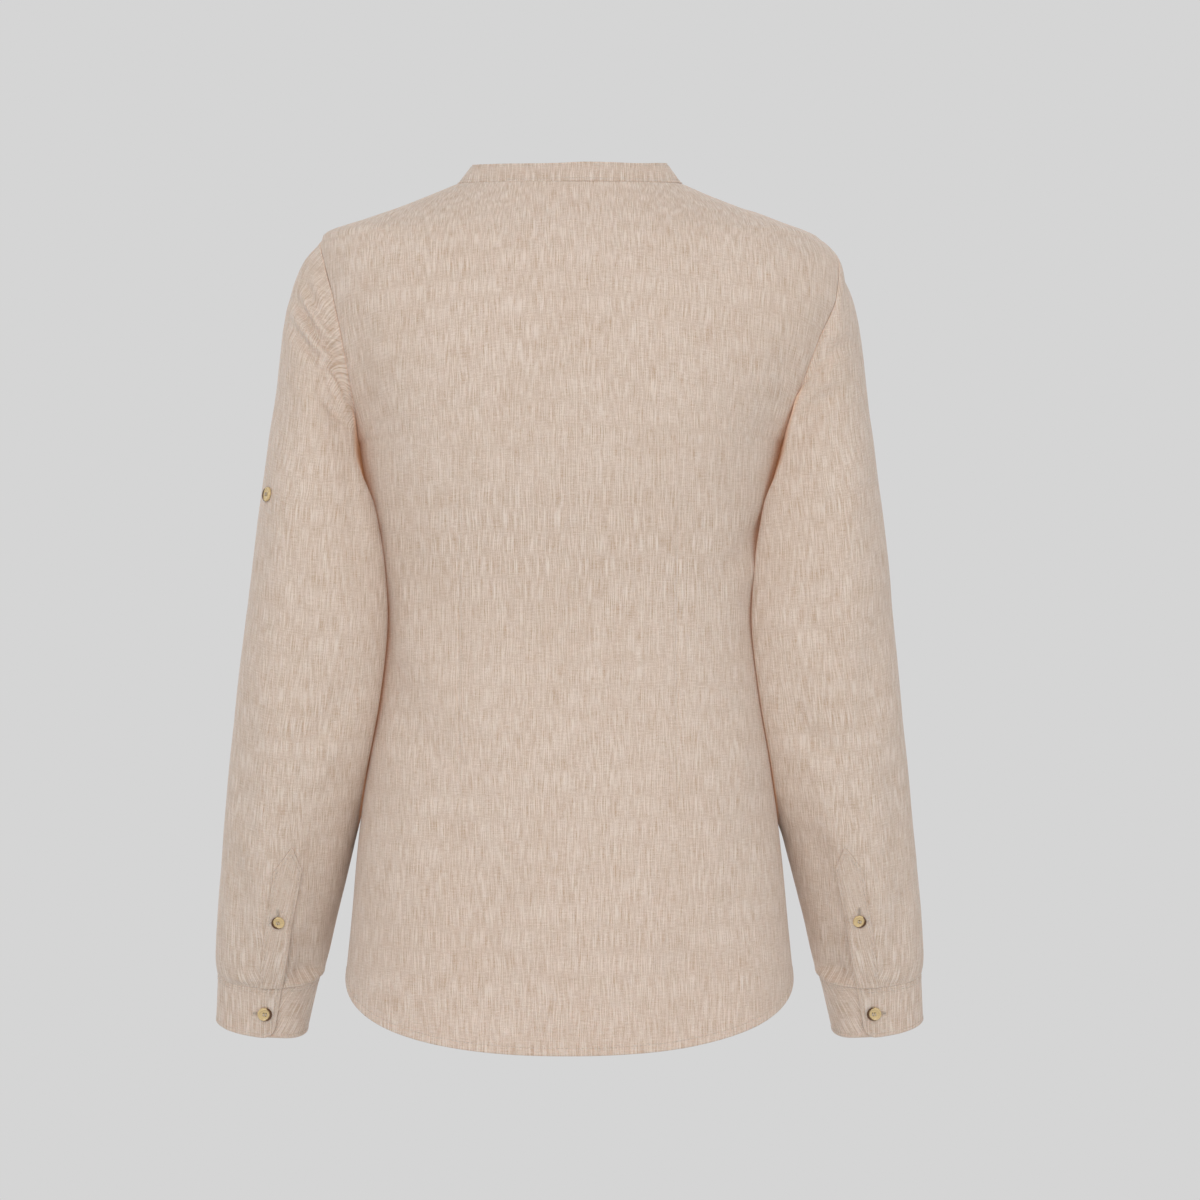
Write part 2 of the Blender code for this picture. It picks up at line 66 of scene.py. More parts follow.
MM = 0.001
UP = np.array([0.0, 0.0, 1.0])
OUTWARD = {"left": 1.0, "right": -1.0}      # which way X leaves the shirt on each side

# ---- Cloth and seams -----------------------------------------------------------------
CLOTH = 1.2 * MM            # wall of one layer of cloth
LAYER_GAP = 0.4 * MM        # between a piece and the one that it lies on
UNDERARM_CLEARANCE = 0.1 * MM  # between the sleeve and the body just below the armhole
SLEEVE_CLEARANCE = 0.12 * MM  # between the sleeve and the side of the body
# How far each sleeve would sink into the body if it could.
SLEEVE_PRESS = {"left": 6 * MM, "right": 13 * MM}
UNDERARM_FADE = 2.2         # rows of the body over which its roundness returns
CLEARANCE_STATIONS = 2.5    # how far down the sleeve the first gives way to the second
SLEEVE_BLEND = 3.0 * MM     # how softly the sleeve's ring turns to follow the body's side
BLEND_STATIONS = 3          # how far down the sleeve that softness grows

# ---- Body ----------------------------------------------------------------------------
BACK_ROUNDNESS = 2.3        # power of the oval sections, where 2 is an ellipse
FRONT_ROUNDNESS = 2.15
FRONT_LAP = 12 * MM         # how far each front runs past the centre line
FACING = 30 * MM            # width of the fronts' folded edges
LAP_RISE = 2.1 * MM         # how far the right front stands off the left one
LAP_RISE_START = 45 * MM    # from the centre line, where the right front starts to rise
ARMPIT = 9                  # station of the underarm point in BODY_ROWS
SHOULDER = 17               # station of the shoulder point
NECK = 20                   # station of the neck point

BodyRow = namedtuple("BodyRow", "edge_z left_x right_x back_edge_y front_edge_y "
                                "back_y back_z front_y front_z")
# One row for each station from the hem to the neck point, in millimetres.
BODY_ROWS = [
    BodyRow(-616, 174.0, 174.5, 0, 0, 117, -667, -117, -652),
    BodyRow(-572, 169.5, 170.0, 0, 0, 116, -602, -116, -594),
    BodyRow(-520, 165.0, 165.0, 0, 0, 113, -532, -114, -528),
    BodyRow(-460, 158.0, 158.0, 0, 0, 106, -463, -112, -463),
    BodyRow(-400, 151.0, 150.0, 0, 0, 97, -400, -110, -402),
    BodyRow(-341, 147.0, 145.5, 0, 0, 92, -341, -112, -345),
    BodyRow(-290, 150.5, 149.0, 0, 0, 98, -290, -121, -297),
    BodyRow(-250, 156.0, 155.0, 0, 0, 106, -250, -129, -258),
    BodyRow(-224, 160.5, 160.5, 0, 0, 110, -226, -129, -236),
    BodyRow(-207, 163.0, 165.0, 0, 0, 112, -208, -127, -222),
    BodyRow(-200.6, 163.5, 166.5, 20, -22, 113, -196, -125, -214),
    BodyRow(-182.5, 164.5, 171.0, 37, -41, 113, -180, -121, -203),
    BodyRow(-155.5, 169.0, 181.0, 48, -52, 113, -157, -114, -188),
    BodyRow(-123.5, 174.5, 193.0, 51, -56, 111, -127, -106, -170),
    BodyRow(-91.5, 181.5, 206.0, 47, -52, 106, -97, -98, -150),
    BodyRow(-64.5, 189.0, 208.5, 34, -41, 98, -70, -89, -131),
    BodyRow(-48.0, 193.0, 199.0, 15, -25, 90, -51, -82, -116),
    BodyRow(-41.5, 191.0, 192.0, -8, -8, 85, -42, -77, -107),
    BodyRow(-28.5, 157.5, 159.0, -8, -8, 76, -29, -70, -95),
    BodyRow(-14.8, 120.5, 121.5, -8, -8, 67, -17, -64, -83),
    BodyRow(0, 86.0, 87.0, -8, -8, 58, -4, -59, -72),
]
FRONT_DIP_BELOW = 1.0       # how a front row falls from edge to centre, below the armhole
FRONT_DIP_NECK = 1.45       # the same at the neck, where it leaves the shoulder level

# ---- Collar --------------------------------------------------------------------------
COLLAR_RISE = 15 * MM       # height of the band above its seam
COLLAR_LEAN_X = 0.128       # how far its top leans in, as a part of the neck's half width
COLLAR_LEAN_Y = 12.5 * MM   # the same at the centre back and front
COLLAR_END_GAP = 1.5 * MM   # from the centre line to each front end
COLLAR_CORNER = 9 * MM      # radius of the two front corners
COLLAR_BAND = 20 * MM       # height of the band along its slope
COLLAR_WAVE = 0.5           # of the waves of the rest of the cloth
COLLAR_SAG = 0.7 * MM       # how far the band's top rises and falls
COLLAR_SAG_WAVES = 13       # how many times it does so from end to end
COLLAR_SEAM_POINTS = 1201

# ---- Sleeves -------------------------------------------------------------------------
SLEEVE_ROUNDNESS = 2.12
CUFF_SEAM = 16              # station of the cuff seam in SLEEVE_ROWS
CUFF_EDGE = 17              # station of the cuff's edge

SleeveRow = namedtuple("SleeveRow", "outer_x outer_z inner_x inner_z left_y right_y "
                                    "half_depth tilt armhole")
# One row for each ring, in millimetres and degrees: its outer and inner points, the depth
# of its middle on each side, half its depth, how far it tilts forward, and how much of the
# armhole's own shape it keeps.  A ring is 0 degrees outside, 90 at the back, 180 inside.
SLEEVE_ROWS = [
    SleeveRow(191.5, -41, 161.5, -207, -2, -2, 52, 0, 1.0),
    SleeveRow(205.0, -57, 162.3, -208.5, -1, -3, 54, 0, 0.68),
    SleeveRow(214.5, -80, 162.0, -211, 0, -4, 56, 0, 0.38),
    SleeveRow(221.0, -106, 160.5, -215.5, 1, -5, 57.5, 0, 0.16),
    SleeveRow(226.0, -138, 158.0, -221.5, 3, -6, 58.5, 0, 0.04),
    SleeveRow(231.0, -173, 154.5, -231, 5, -6, 59, 0, 0),
    SleeveRow(236.5, -212, 150.0, -245, 8, -6, 59.5, 0, 0),
    SleeveRow(242.5, -253, 145.0, -265, 11, -6, 60, -1, 0),
    SleeveRow(247.0, -293, 140.5, -296, 13, -6, 59.5, -1, 0),
    SleeveRow(251.5, -338, 139.0, -338, 14, -6, 58, 0, 0),
    SleeveRow(257.5, -388, 142.5, -388, 11, -9, 56, 3, 0),
    SleeveRow(263.5, -437, 150.5, -438, 3, -16, 54, 6, 0),
    SleeveRow(269.0, -485, 161.0, -486, -10, -24, 51.5, 9, 0),
    SleeveRow(274.0, -532, 173.0, -532, -25, -34, 48, 12, 0),
    SleeveRow(278.5, -575, 185.0, -577, -39, -45, 43.5, 14, 0),
    SleeveRow(280.5, -604, 192.0, -607, -48, -52, 38.5, 15, 0),
    SleeveRow(279.5, -620, 197.5, -623, -53, -56, 33.5, 15, 0),
    SleeveRow(282.0, -658.5, 208.5, -668, -65, -68, 29, 15, 0),
]

# ---- Cuffs and sleeve plackets, in degrees round the ring -------------------------------
OPENING_ANGLE = 108         # the free edge of the cuff and of the placket above it
CUFF_LAP = 30               # how far the cuff's under end runs on below the upper one
CUFF_DIVE = 30              # over how much of the ring it sinks to get there
CUFF_CORNER = 9 * MM
PLACKET_WIDTH = 24.5        # degrees from the free edge to the sewn edge
PLACKET_TOP = 12.45         # station of its point
PLACKET_SHOULDER = 12.85    # station where the straight sides begin

# ---- Buttons -------------------------------------------------------------------------
BUTTON_RADIUS = 5.8 * MM
SMALL_BUTTON_RADIUS = 5.2 * MM
BUTTON_SEAT = 0.3 * MM      # from the cloth to the back of the button
FRONT_BUTTONS = 7
FRONT_BUTTON_TOP = -92 * MM
FRONT_BUTTON_PITCH = 84 * MM
CUFF_BUTTON = (93, 16.56)   # degrees round the ring, station along the sleeve
PLACKET_BUTTON = (94, 13.93)
TAB_BUTTON = {"left": (39, 6.75), "right": (-40, 6.75)}
# The angle of each button's dark crescent, in degrees, as it is seen square on.  The crescent
# is partly the horn's own dark rim and partly painted shadow.
CRESCENT = {"cuff_left": -20, "cuff_right": 200, "placket_left": 215, "placket_right": -35,
            "tab_left": 180, "tab_right": 0}
CRESCENT_TURN = 0.7         # radians from one front button's crescent to the next one's
ButtonPoint = namedtuple("ButtonPoint", "radius height")
# Half section of a button of radius 1, from the middle of its dished face over the rim to
# the middle of its underside.
BUTTON_PROFILE = [
    ButtonPoint(0, 0.27),
    ButtonPoint(0.30, 0.27),
    ButtonPoint(0.56, 0.29),
    ButtonPoint(0.70, 0.36),
    ButtonPoint(0.82, 0.42),
    ButtonPoint(0.93, 0.38),
    ButtonPoint(1.0, 0.25),
    ButtonPoint(0.97, 0.10),
    ButtonPoint(0.85, 0.02),
    ButtonPoint(0.5, 0),
    ButtonPoint(0.02, 0),
]
FACE_ROWS = 3.5             # rows of the profile that belong to the face
BUTTON_ROWS = 60
BUTTON_COLUMNS = 60
HOLE_AT = 0.17              # of each hole from both axes, as a part of the radius
HOLE_RADIUS = 0.095
HOLE_DEPTH = 0.2
THREAD_FACE = 0.33          # height of the face between its holes
THREAD_RISE = 0.02          # of the threads above it
THREAD_SPREAD = 0.045       # from one thread to the next
THREAD_RADIUS = 0.05
THREAD_REACH = 2.6          # length of a thread, in times HOLE_AT
CRESCENT_OFFSET = 0.32      # from the button's centre to the middle of its pale part
# From the cuff's button to the middle of its buttonhole.
HOLE_SHIFT = {"left": 3 * MM, "right": -3 * MM}
BUTTONHOLE_BAR = 1.5 * MM   # length of the bars of thread across a buttonhole
PLACKET_HOLE_BAR = 1.4 * MM
BUTTONHOLE_THREAD = 0.26 * MM
BUTTONHOLE_PITCH = 0.55 * MM  # from bar to bar, and from the slit to each row of bars
BUTTONHOLE_END_PITCH = 0.45 * MM  # between the long threads over each end

# ---- How finely the cloth is divided ---------------------------------------------------
BACK_ROWS = 210
FRONT_ROWS = 190
SLEEVE_RINGS = 235
SLEEVE_COLUMNS = 150
DART_STATION = 7.1          # above this station the back's columns run on evenly
HEM_ROWS = np.array([0.5, 1.0, 1.7, 4.2, 5.0, 5.6, 6.2, 6.8, 7.4]) * MM
HEM_ROW_PITCH = 50 * MM     # how much of the hem one station covers
NECK_ROWS = np.array([0.02, 0.05, 0.09])    # stations below the neck
SLEEVE_FIRST_RINGS = np.array([0.01, 0.03, 0.06, 0.1, 0.14])
SLEEVE_LAST_RINGS = np.array([0.015, 0.04, 0.08, 0.13, 0.2])    # stations above the cuff
COLLAR_HEIGHTS = np.array([0, 0.03, 0.07, 0.12, 0.19, 0.28, 0.38, 0.48, 0.58, 0.66, 0.72,
                           0.77, 0.82, 0.87, 0.91, 0.95, 0.98, 1.0])
CUFF_HEIGHTS = np.array([0, 0.01, 0.03, 0.05, 0.08, 0.13, 0.2, 0.3, 0.4, 0.5, 0.6, 0.7,
                         0.78, 0.84, 0.875, 0.9, 0.92, 0.94, 0.965, 0.985, 1.0])
HEM_LINE_POINTS = 700
EDGE_STATION = 0.2          # stations over which the distance from an edge is measured
EDGE_PART = 0.03            # the same across a panel, as a part of its half width
NORMAL_STEP = 1e-3          # stations or parts between the points that give a normal
COLLAR_STEP = 2e-3
SHORTEST = 1e-12            # below this a vector has no direction

# ---- Curves through the tables -------------------------------------------------------

def column(rows, name, station):
    """Value of a column at any station: a monotone cubic through the rows."""
    y = np.array([getattr(row, name) for row in rows], dtype=float)
    station = np.clip(np.asarray(station, dtype=float), 0, len(y) - 1)
    step = np.diff(y)
    before, after = step[:-1], step[1:]
    total = before + after
    slope = np.zeros_like(y)
    same_way = before * after > 0
    slope[1:-1][same_way] = (2 * before * after)[same_way] / total[same_way]
    slope[0], slope[-1] = step[0], step[-1]
    low = np.minimum(station.astype(int), len(y) - 2)
    t = station - low
    return ((1 + 2 * t) * (1 - t) ** 2 * y[low] + t * (1 - t) ** 2 * slope[low]
            + t * t * (3 - 2 * t) * y[low + 1] - t * t * (1 - t) * slope[low + 1])


def smoothstep(t):
    """Rise from 0 to 1 that starts and ends level."""
    t = np.clip(t, 0, 1)
    return t * t * (3 - 2 * t)


def oval(angle, power):
    """Sine and cosine of an angle on a rounded oval of radius 1."""
    s, c = np.sin(angle), np.cos(angle)
    size = (np.abs(s) ** power + np.abs(c) ** power) ** (1 / power)
    return s / size, c / size


def oval_angle(across, power):
    """Angle at which the oval is that far across."""
    rest = (1 - np.minimum(np.abs(across), 1) ** power) ** (1 / power)
    return np.arctan2(across, rest)


def unit(vectors):
    """The vectors at length 1."""
    return vectors / np.maximum(np.linalg.norm(vectors, axis=-1, keepdims=True), SHORTEST)


def along_line(line, marks, at):
    """Points of a line between its own points, whose rising marks are given."""
    return np.stack([np.interp(at, marks, line[:, k]) for k in range(3)], axis=-1)


# ---- Body ----------------------------------------------------------------------------

def body_row(panel, station):
    """Edge height and centre of a panel's row, the angle between them, and its power."""
    edge_y = column(BODY_ROWS, panel + "_edge_y", station) * MM
    edge_z = column(BODY_ROWS, "edge_z", station) * MM
    centre_y = column(BODY_ROWS, panel + "_y", station) * MM
    centre_z = column(BODY_ROWS, panel + "_z", station) * MM
    power = BACK_ROUNDNESS if panel == "back" else FRONT_ROUNDNESS
    depth = edge_y / centre_y
    wrap = np.arctan2((1 - np.abs(depth) ** power) ** (1 / power), depth)
    return edge_z, centre_y, centre_z, wrap, power


def edge_x(across, station):
    """Half width at the station, on the side that the sign of across gives."""
    left = column(BODY_ROWS, "left_x", station)
    right = column(BODY_ROWS, "right_x", station)
    return np.where(across >= 0, left, right) * MM


def body_point(panel, across, station):
    """Point of a panel: across is -1 at the right edge, 0 at the centre, 1 at the left."""
    across, station = np.broadcast_arrays(across, station)
    edge_z, centre_y, centre_z, wrap, power = body_row(panel, station)
    s, c = oval(across * wrap, power)
    s_edge, c_edge = oval(wrap, power)
    x = edge_x(across, station) * s / s_edge
    y = centre_y * c
    dip = 1.0
    if panel == "front":
        upper = smoothstep((station - ARMPIT) / (NECK - ARMPIT))
        dip = FRONT_DIP_BELOW + (FRONT_DIP_NECK - FRONT_DIP_BELOW) * upper
    fall = np.clip((c - c_edge) / (1 - c_edge), 0, 1) ** dip
    z = edge_z + (centre_z - edge_z) * fall
    return np.stack([x, y, z], axis=-1)


def panel_across(panel, x, station):
    """A panel's across value at a distance from the centre line."""
    wrap, power = body_row(panel, station)[3:]
    s_edge = oval(wrap, power)[0]
    return oval_angle(x * s_edge / edge_x(x, station), power) / wrap


def front_across(x, station):
    return panel_across("front", x, station)


def front_point(side, across, station):
    """Point of one front: the right one rises near the centre to lie on the left one."""
    points = body_point("front", across, station)
    if side == "right":
        rise = smoothstep((points[..., 0] + LAP_RISE_START) / (LAP_RISE_START - FRONT_LAP))
        points[..., 1] -= LAP_RISE * rise
    return points


def armhole_station(angle):
    """Station of the body beside an angle of the armhole, and whether it is on the back."""
    turn = np.mod(angle, 2 * math.pi)
    at_back = turn <= math.pi
    part = np.where(at_back, 1 - turn / math.pi, turn / math.pi - 1)
    return ARMPIT + (SHOULDER - ARMPIT) * part, at_back


def armhole_point(side, angle):
    """Point of the armhole edge: 0 at the shoulder, 180 degrees at the underarm."""
    station, at_back = armhole_station(angle)
    back = body_point("back", OUTWARD[side], station)
    front = body_point("front", OUTWARD[side], station)
    return np.where(at_back[..., None], back, front)


def plain_ring(side, angle, station):
    """Point of the sleeve's oval ring, before the armhole and the body press on it."""
    outer_x = column(SLEEVE_ROWS, "outer_x", station) * MM
    outer_z = column(SLEEVE_ROWS, "outer_z", station) * MM
    inner_x = column(SLEEVE_ROWS, "inner_x", station) * MM
    inner_z = column(SLEEVE_ROWS, "inner_z", station) * MM
    middle_y = column(SLEEVE_ROWS, side + "_y", station) * MM
    half_depth = column(SLEEVE_ROWS, "half_depth", station) * MM
    tilt = np.radians(column(SLEEVE_ROWS, "tilt", station))
    s, c = oval(angle, SLEEVE_ROUNDNESS)
    x = OUTWARD[side] * ((outer_x + inner_x) / 2 + c * (outer_x - inner_x) / 2)
    y = middle_y + s * half_depth * np.cos(tilt)
    z = (outer_z + inner_z) / 2 + c * (outer_z - inner_z) / 2 - s * half_depth * np.sin(tilt)
    return np.stack([x, y, z], axis=-1)


def body_side(side, y, z):
    """Half width of the body at a depth and a height.  It narrows towards the front and the
    back below the underarm, and less and less so towards the underarm itself."""
    heights = np.array([row.edge_z for row in BODY_ROWS[:SHOULDER + 1]]) * MM
    station = np.interp(z, heights, np.arange(SHOULDER + 1))
    half = column(BODY_ROWS, side + "_x", station) * MM
    depth = np.where(y > 0, column(BODY_ROWS, "back_y", station),
                     -column(BODY_ROWS, "front_y", station)) * MM
    part = np.clip(np.abs(y) / depth, 0, 1) * smoothstep((ARMPIT - station) / UNDERARM_FADE)
    return half * (1 - part ** BACK_ROUNDNESS) ** (1 / BACK_ROUNDNESS)


def sleeve_point(side, angle, station):
    """Point of the sleeve: the ring, with the armhole's shape fading out of the first ones,
    and its inner side kept clear of the body by a rounded maximum."""
    angle, station = np.broadcast_arrays(angle, np.asarray(station, dtype=float))
    start = plain_ring(side, angle, np.zeros_like(station))
    kept = column(SLEEVE_ROWS, "armhole", station)[..., None]
    points = plain_ring(side, angle, station) + kept * (armhole_point(side, angle) - start)
    sign = OUTWARD[side]
    more = SLEEVE_CLEARANCE - UNDERARM_CLEARANCE
    clearance = UNDERARM_CLEARANCE + more * smoothstep(station / CLEARANCE_STATIONS)
    wall = body_side(side, points[..., 1], points[..., 2]) + clearance
    inner = smoothstep((-np.cos(angle) - 0.2) / 0.6)
    inner = inner * smoothstep(station / 1.5) * smoothstep((12.6 - station) / 1.4)
    outward = sign * points[..., 0] - SLEEVE_PRESS[side] * inner
    blend = SLEEVE_BLEND * smoothstep(station / BLEND_STATIONS)
    rounded = (outward + wall + np.sqrt((outward - wall) ** 2 + blend ** 2)) / 2
    points[..., 0] = sign * rounded
    return points


# ---- Cloth relief: folds, darts and seams ----------------------------------------------

Fold = namedtuple("Fold", "x0 z0 x1 z1 depth width bow")
# Each fold is a soft trough (or a ridge, where depth is below 0) seen square on, from its
# start to its end in millimetres, with its half width and how far its middle bows.
BACK_FOLDS = [
    Fold(-150, -262, -122, -303, 2.0, 8, 3),
    Fold(-139, -290, -112, -340, -1.2, 11, 3),
    Fold(146, -318, 132, -392, 1.8, 11, -4),
    Fold(142, -388, 92, -448, 2.6, 19, -5),
    Fold(-70, -590, -116, -652, 2.6, 24, 6),
    Fold(-40, -540, -66, -600, -1.6, 22, 0),
    Fold(96, -470, 60, -640, 1.8, 26, 12),
    Fold(-150, -470, -128, -600, 1.8, 20, -6),
    Fold(30, -430, 22, -610, -1.5, 30, 6),
    Fold(165, -120, 140, -205, 1.8, 13, -5),
    Fold(-170, -130, -142, -215, 1.8, 13, 5),
    Fold(60, -95, 120, -160, -1.0, 26, 8),
    Fold(-64, -95, -118, -165, -1.0, 26, -8),
    Fold(-20, -300, -34, -420, 1.0, 24, 5),
]
FRONT_FOLDS = [
    Fold(118, -150, 88, -228, 2.2, 14, 5),
    Fold(-124, -156, -92, -236, 2.2, 14, -5),
    Fold(138, -262, 84, -318, 2.4, 13, -6),
    Fold(-140, -256, -90, -310, 2.4, 13, 6),
    Fold(112, -380, 96, -520, 2.0, 20, 8),
    Fold(-108, -390, -96, -540, 2.0, 20, -8),
    Fold(50, -330, 58, -470, -1.5, 22, 4),
    Fold(-52, -330, -60, -480, -1.5, 22, -4),
    Fold(62, -520, 48, -640, 2.0, 22, 4),
    Fold(-84, -520, -100, -636, 2.0, 22, -4),
]
SLEEVE_BACK_FOLDS = {
    "left": [
        Fold(210, -96, 173, -141, 5.2, 4.5, -3),
        Fold(203, -82, 176, -124, 3.4, 4.0, -3),
        Fold(206, -90, 175, -133, -1.6, 3.5, -3),
        Fold(214, -114, 177, -150, 4.2, 4.5, -3),
        Fold(213, -104, 176, -146, -1.4, 3.5, -3),
        Fold(181, -145, 165, -186, 2.2, 3.0, 1),
        Fold(188, -150, 168, -196, 1.5, 2.6, 2),
        Fold(183, -176, 166, -192, 1.6, 2.4, 0),
        Fold(196, -160, 162, -228, 2.4, 8, 6),
        Fold(163, -216, 156, -290, 2.6, 8, -2),
        Fold(228, -190, 222, -300, -1.6, 13, 4),
        Fold(206, -300, 214, -404, 2.2, 15, 8),
        Fold(168, -392, 196, -432, 2.4, 9, 5),
        Fold(176, -418, 204, -470, -1.6, 11, 5),
        Fold(244, -402, 250, -500, 1.8, 13, -4),
        Fold(190, -500, 198, -570, 2.0, 10, -3),
        Fold(262, -520, 256, -596, 1.8, 9, 3),
        Fold(238, -480, 232, -548, -1.2, 9, 0),
    ],
    "right": [
        Fold(206, -166, 176, -184, 2.8, 5.5, 2),
        Fold(214, -128, 186, -150, 2.4, 6, 2),
        Fold(192, -190, 160, -236, 2.2, 11, 6),
        Fold(226, -200, 214, -316, -1.8, 13, 5),
        Fold(184, -318, 206, -372, 2.2, 12, 5),
        Fold(244, -330, 236, -420, 2.0, 13, 5),
        Fold(170, -402, 204, -446, 2.4, 9, 5),
        Fold(196, -452, 214, -520, -1.5, 11, 4),
        Fold(250, -452, 254, -540, 1.8, 11, -4),
        Fold(188, -505, 200, -575, 2.0, 10, -3),
        Fold(264, -540, 258, -600, 1.5, 9, 2),
    ],
}
SLEEVE_FRONT_FOLDS = [
    Fold(214, -122, 186, -158, 2.4, 7, -3),
    Fold(222, -160, 180, -204, 2.2, 8, -4),
    Fold(232, -232, 222, -330, -2.0, 13, 5),
    Fold(184, -330, 214, -376, 3.0, 8, 5),
    Fold(176, -376, 218, -410, 3.4, 8, 6),
    Fold(182, -418, 222, -442, 2.8, 8, 5),
    Fold(248, -430, 252, -530, 2.0, 12, -5),
    Fold(206, -500, 216, -590, 1.8, 11, 3),
]
FOLD_STRENGTH = 1.35
Hollow = namedtuple("Hollow", "degrees station depth degrees_wide stations_long")
# Pressed-in places of both sleeves, given on the sleeve itself, in millimetres of depth.
SLEEVE_HOLLOWS = [
    Hollow(133, 15.3, 8.5, 20, 0.8),
    Hollow(122, 14.4, 3.2, 13, 0.8),
    Hollow(111.5, 14.6, 2.4, 4.0, 1.5),
    Hollow(240, 15.2, 3.0, 25, 0.8),
    Hollow(320, 15.1, 2.2, 26, 0.8),
    Hollow(60, 15.6, -1.4, 20, 0.35),
    Hollow(160, 15.75, -2.2, 16, 0.3),
]
# The same on one sleeve only, where its outer line falls in or stands out.
SLEEVE_SHAPE = {
    "left": [],
    "right": [Hollow(0, 1.25, 3.6, 50, 0.7), Hollow(0, 3.3, -2.6, 50, 1.5)],
}
Wave = namedtuple("Wave", "per_u per_v size")
# Waves in the cloth: how many fit in a metre across and along it, and their size in mm.
WAVES = [Wave(22, 9, 0.75), Wave(60, 24, 0.28), Wave(160, 95, 0.08)]
LATTICE = 64                # values each way in the noise that the waves come from
# Where the waves of each piece start in the row of random draws.
SEED = {"back": 11, "front": 31, "left": 51, "right": 71, "cuff": 91, "collar": 17,
        "collar_top": 5}
SIDE_CALM = 0.16            # part of a panel beside its side seam with fading folds
NECK_CALM = 1.5             # stations below the neck with fading folds
LAP_CALM = 30 * MM          # from the centre line, where the fronts lie on each other
DART_X = 83 * MM            # the two back waist darts, from the centre
DART_TOP = -245 * MM
DART_FOOT = -480 * MM
DART_DEPTH = 0.9 * MM
DART_GROOVE = 1.1 * MM      # half width of the sewn line
DART_SHOULDER = 9 * MM      # half width of the cloth that sinks towards it
SEAM_DEPTH = 0.7 * MM       # how far cloth sinks where two pieces are sewn together
SEAM_REACH = 2.2 * MM       # and over what distance from the seam
SEAM_END = 0.999            # of a quarter round, which stops short of upright at the seam
CUFF_SINK = 0.8             # of that depth, on both sides of the cuff's seam
HEM_WIDTH = 7 * MM
EDGE_RISE = 0.35 * MM       # how far a turned edge stands up from the cloth
GROOVE = 0.3 * MM           # how far a line of stitches pulls in
STITCH_INSET = 1.1 * MM     # from the inner side of a turned edge to its stitches
LIP = 1.0 * MM              # over what distance a free edge rounds off
STITCH_LENGTH = 2.4 * MM
STITCH_PITCH = 3.1 * MM
STITCH_RADIUS = 0.24 * MM


def lattice_noise(u, v, seed, period):
    """Smooth noise from -1 to 1: a lattice of seeded values, blended by smoothsteps, that
    repeats after a period along u."""
    values = np.random.default_rng(seed).uniform(-1, 1, (LATTICE, LATTICE))
    iu, iv = np.floor(u).astype(int), np.floor(v).astype(int)
    fu, fv = smoothstep(u - iu), smoothstep(v - iv)
    corner = [values[(iu + i) % period, (iv + j) % LATTICE] for i in (0, 1) for j in (0, 1)]
    low = corner[0] + (corner[1] - corner[0]) * fv
    high = corner[2] + (corner[3] - corner[2]) * fv
    return low + (high - low) * fu


def unevenness(u, v, seed, around=None):
    """Cloth never lies quite flat: the sum of the WAVES, in metres.  Round a ring of cloth
    of length around, a whole number of waves fits."""
    total = 0.0
    for wave in WAVES:
        per_u, period = wave.per_u, LATTICE
        if around is not None:
            period = max(2, round(around * wave.per_u))
            per_u = period / around
        total = total + wave.size * lattice_noise(u * per_u, v * wave.per_v, seed, period)
        seed += 1
    return total * MM


def fold_depth(x, z, folds):
    """Sum of the folds at points seen square on, in mm below the surface.  A fold is a bell
    across its bowed line, with a faint ridge on its outer side, and it fades at both ends."""
    total = np.zeros_like(x)
    for fold in folds:
        dx, dz = fold.x1 - fold.x0, fold.z1 - fold.z0
        length = math.hypot(dx, dz)
        along = ((x - fold.x0) * dx + (z - fold.z0) * dz) / length ** 2
        across = ((x - fold.x0) * dz - (z - fold.z0) * dx) / length
        across = across - fold.bow * 4 * along * (1 - along)
        fade = smoothstep((along + 0.25) / 0.5) * smoothstep((1.25 - along) / 0.5)
        bell = np.exp(-(across / fold.width) ** 2)
        ridge = 0.35 * np.exp(-((across - 2 * fold.width) / fold.width) ** 2)
        total += FOLD_STRENGTH * fold.depth * fade * (bell - ridge)
    return total


def seam_round(distance):
    """Quarter round beside a seam: 0 at SEAM_REACH from it, and nearly 1 at it."""
    t = np.clip(1 - distance / SEAM_REACH, 0, 1)
    return 1 - np.sqrt(1 - t * t * SEAM_END)


def seam_sink(distance):
    """Depth below the surface at a distance from a seam."""
    return SEAM_DEPTH * seam_round(distance)


def edge_relief(distance, width):
    """Relief of a turned edge: raised over its width, with a groove where it is sewn, and
    rounded off at the very edge."""
    raised = -EDGE_RISE * smoothstep((width - distance) / (1.2 * MM))
    groove = GROOVE * np.exp(-((distance - width + STITCH_INSET) / (0.8 * MM)) ** 2)
    lip = np.clip(1 - distance / LIP, 0, 1)
    return raised + groove + LIP * 0.4 * lip ** 2


# ---- Grids and meshes ------------------------------------------------------------------

def lengths(points, axis):
    """Distance along a grid of points from its first row or column."""
    step = np.linalg.norm(np.diff(points, axis=axis), axis=-1)
    zero = np.zeros_like(np.take(step, [0], axis=axis))
    return np.concatenate([zero, np.cumsum(step, axis=axis)], axis=axis)


def new_object(name, mesh):
    """An object with the mesh, carried by the one body of the frame."""
    obj = bpy.data.objects.new(name, mesh)
    bpy.context.scene.collection.objects.link(obj)
    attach(obj, "root")
    return obj


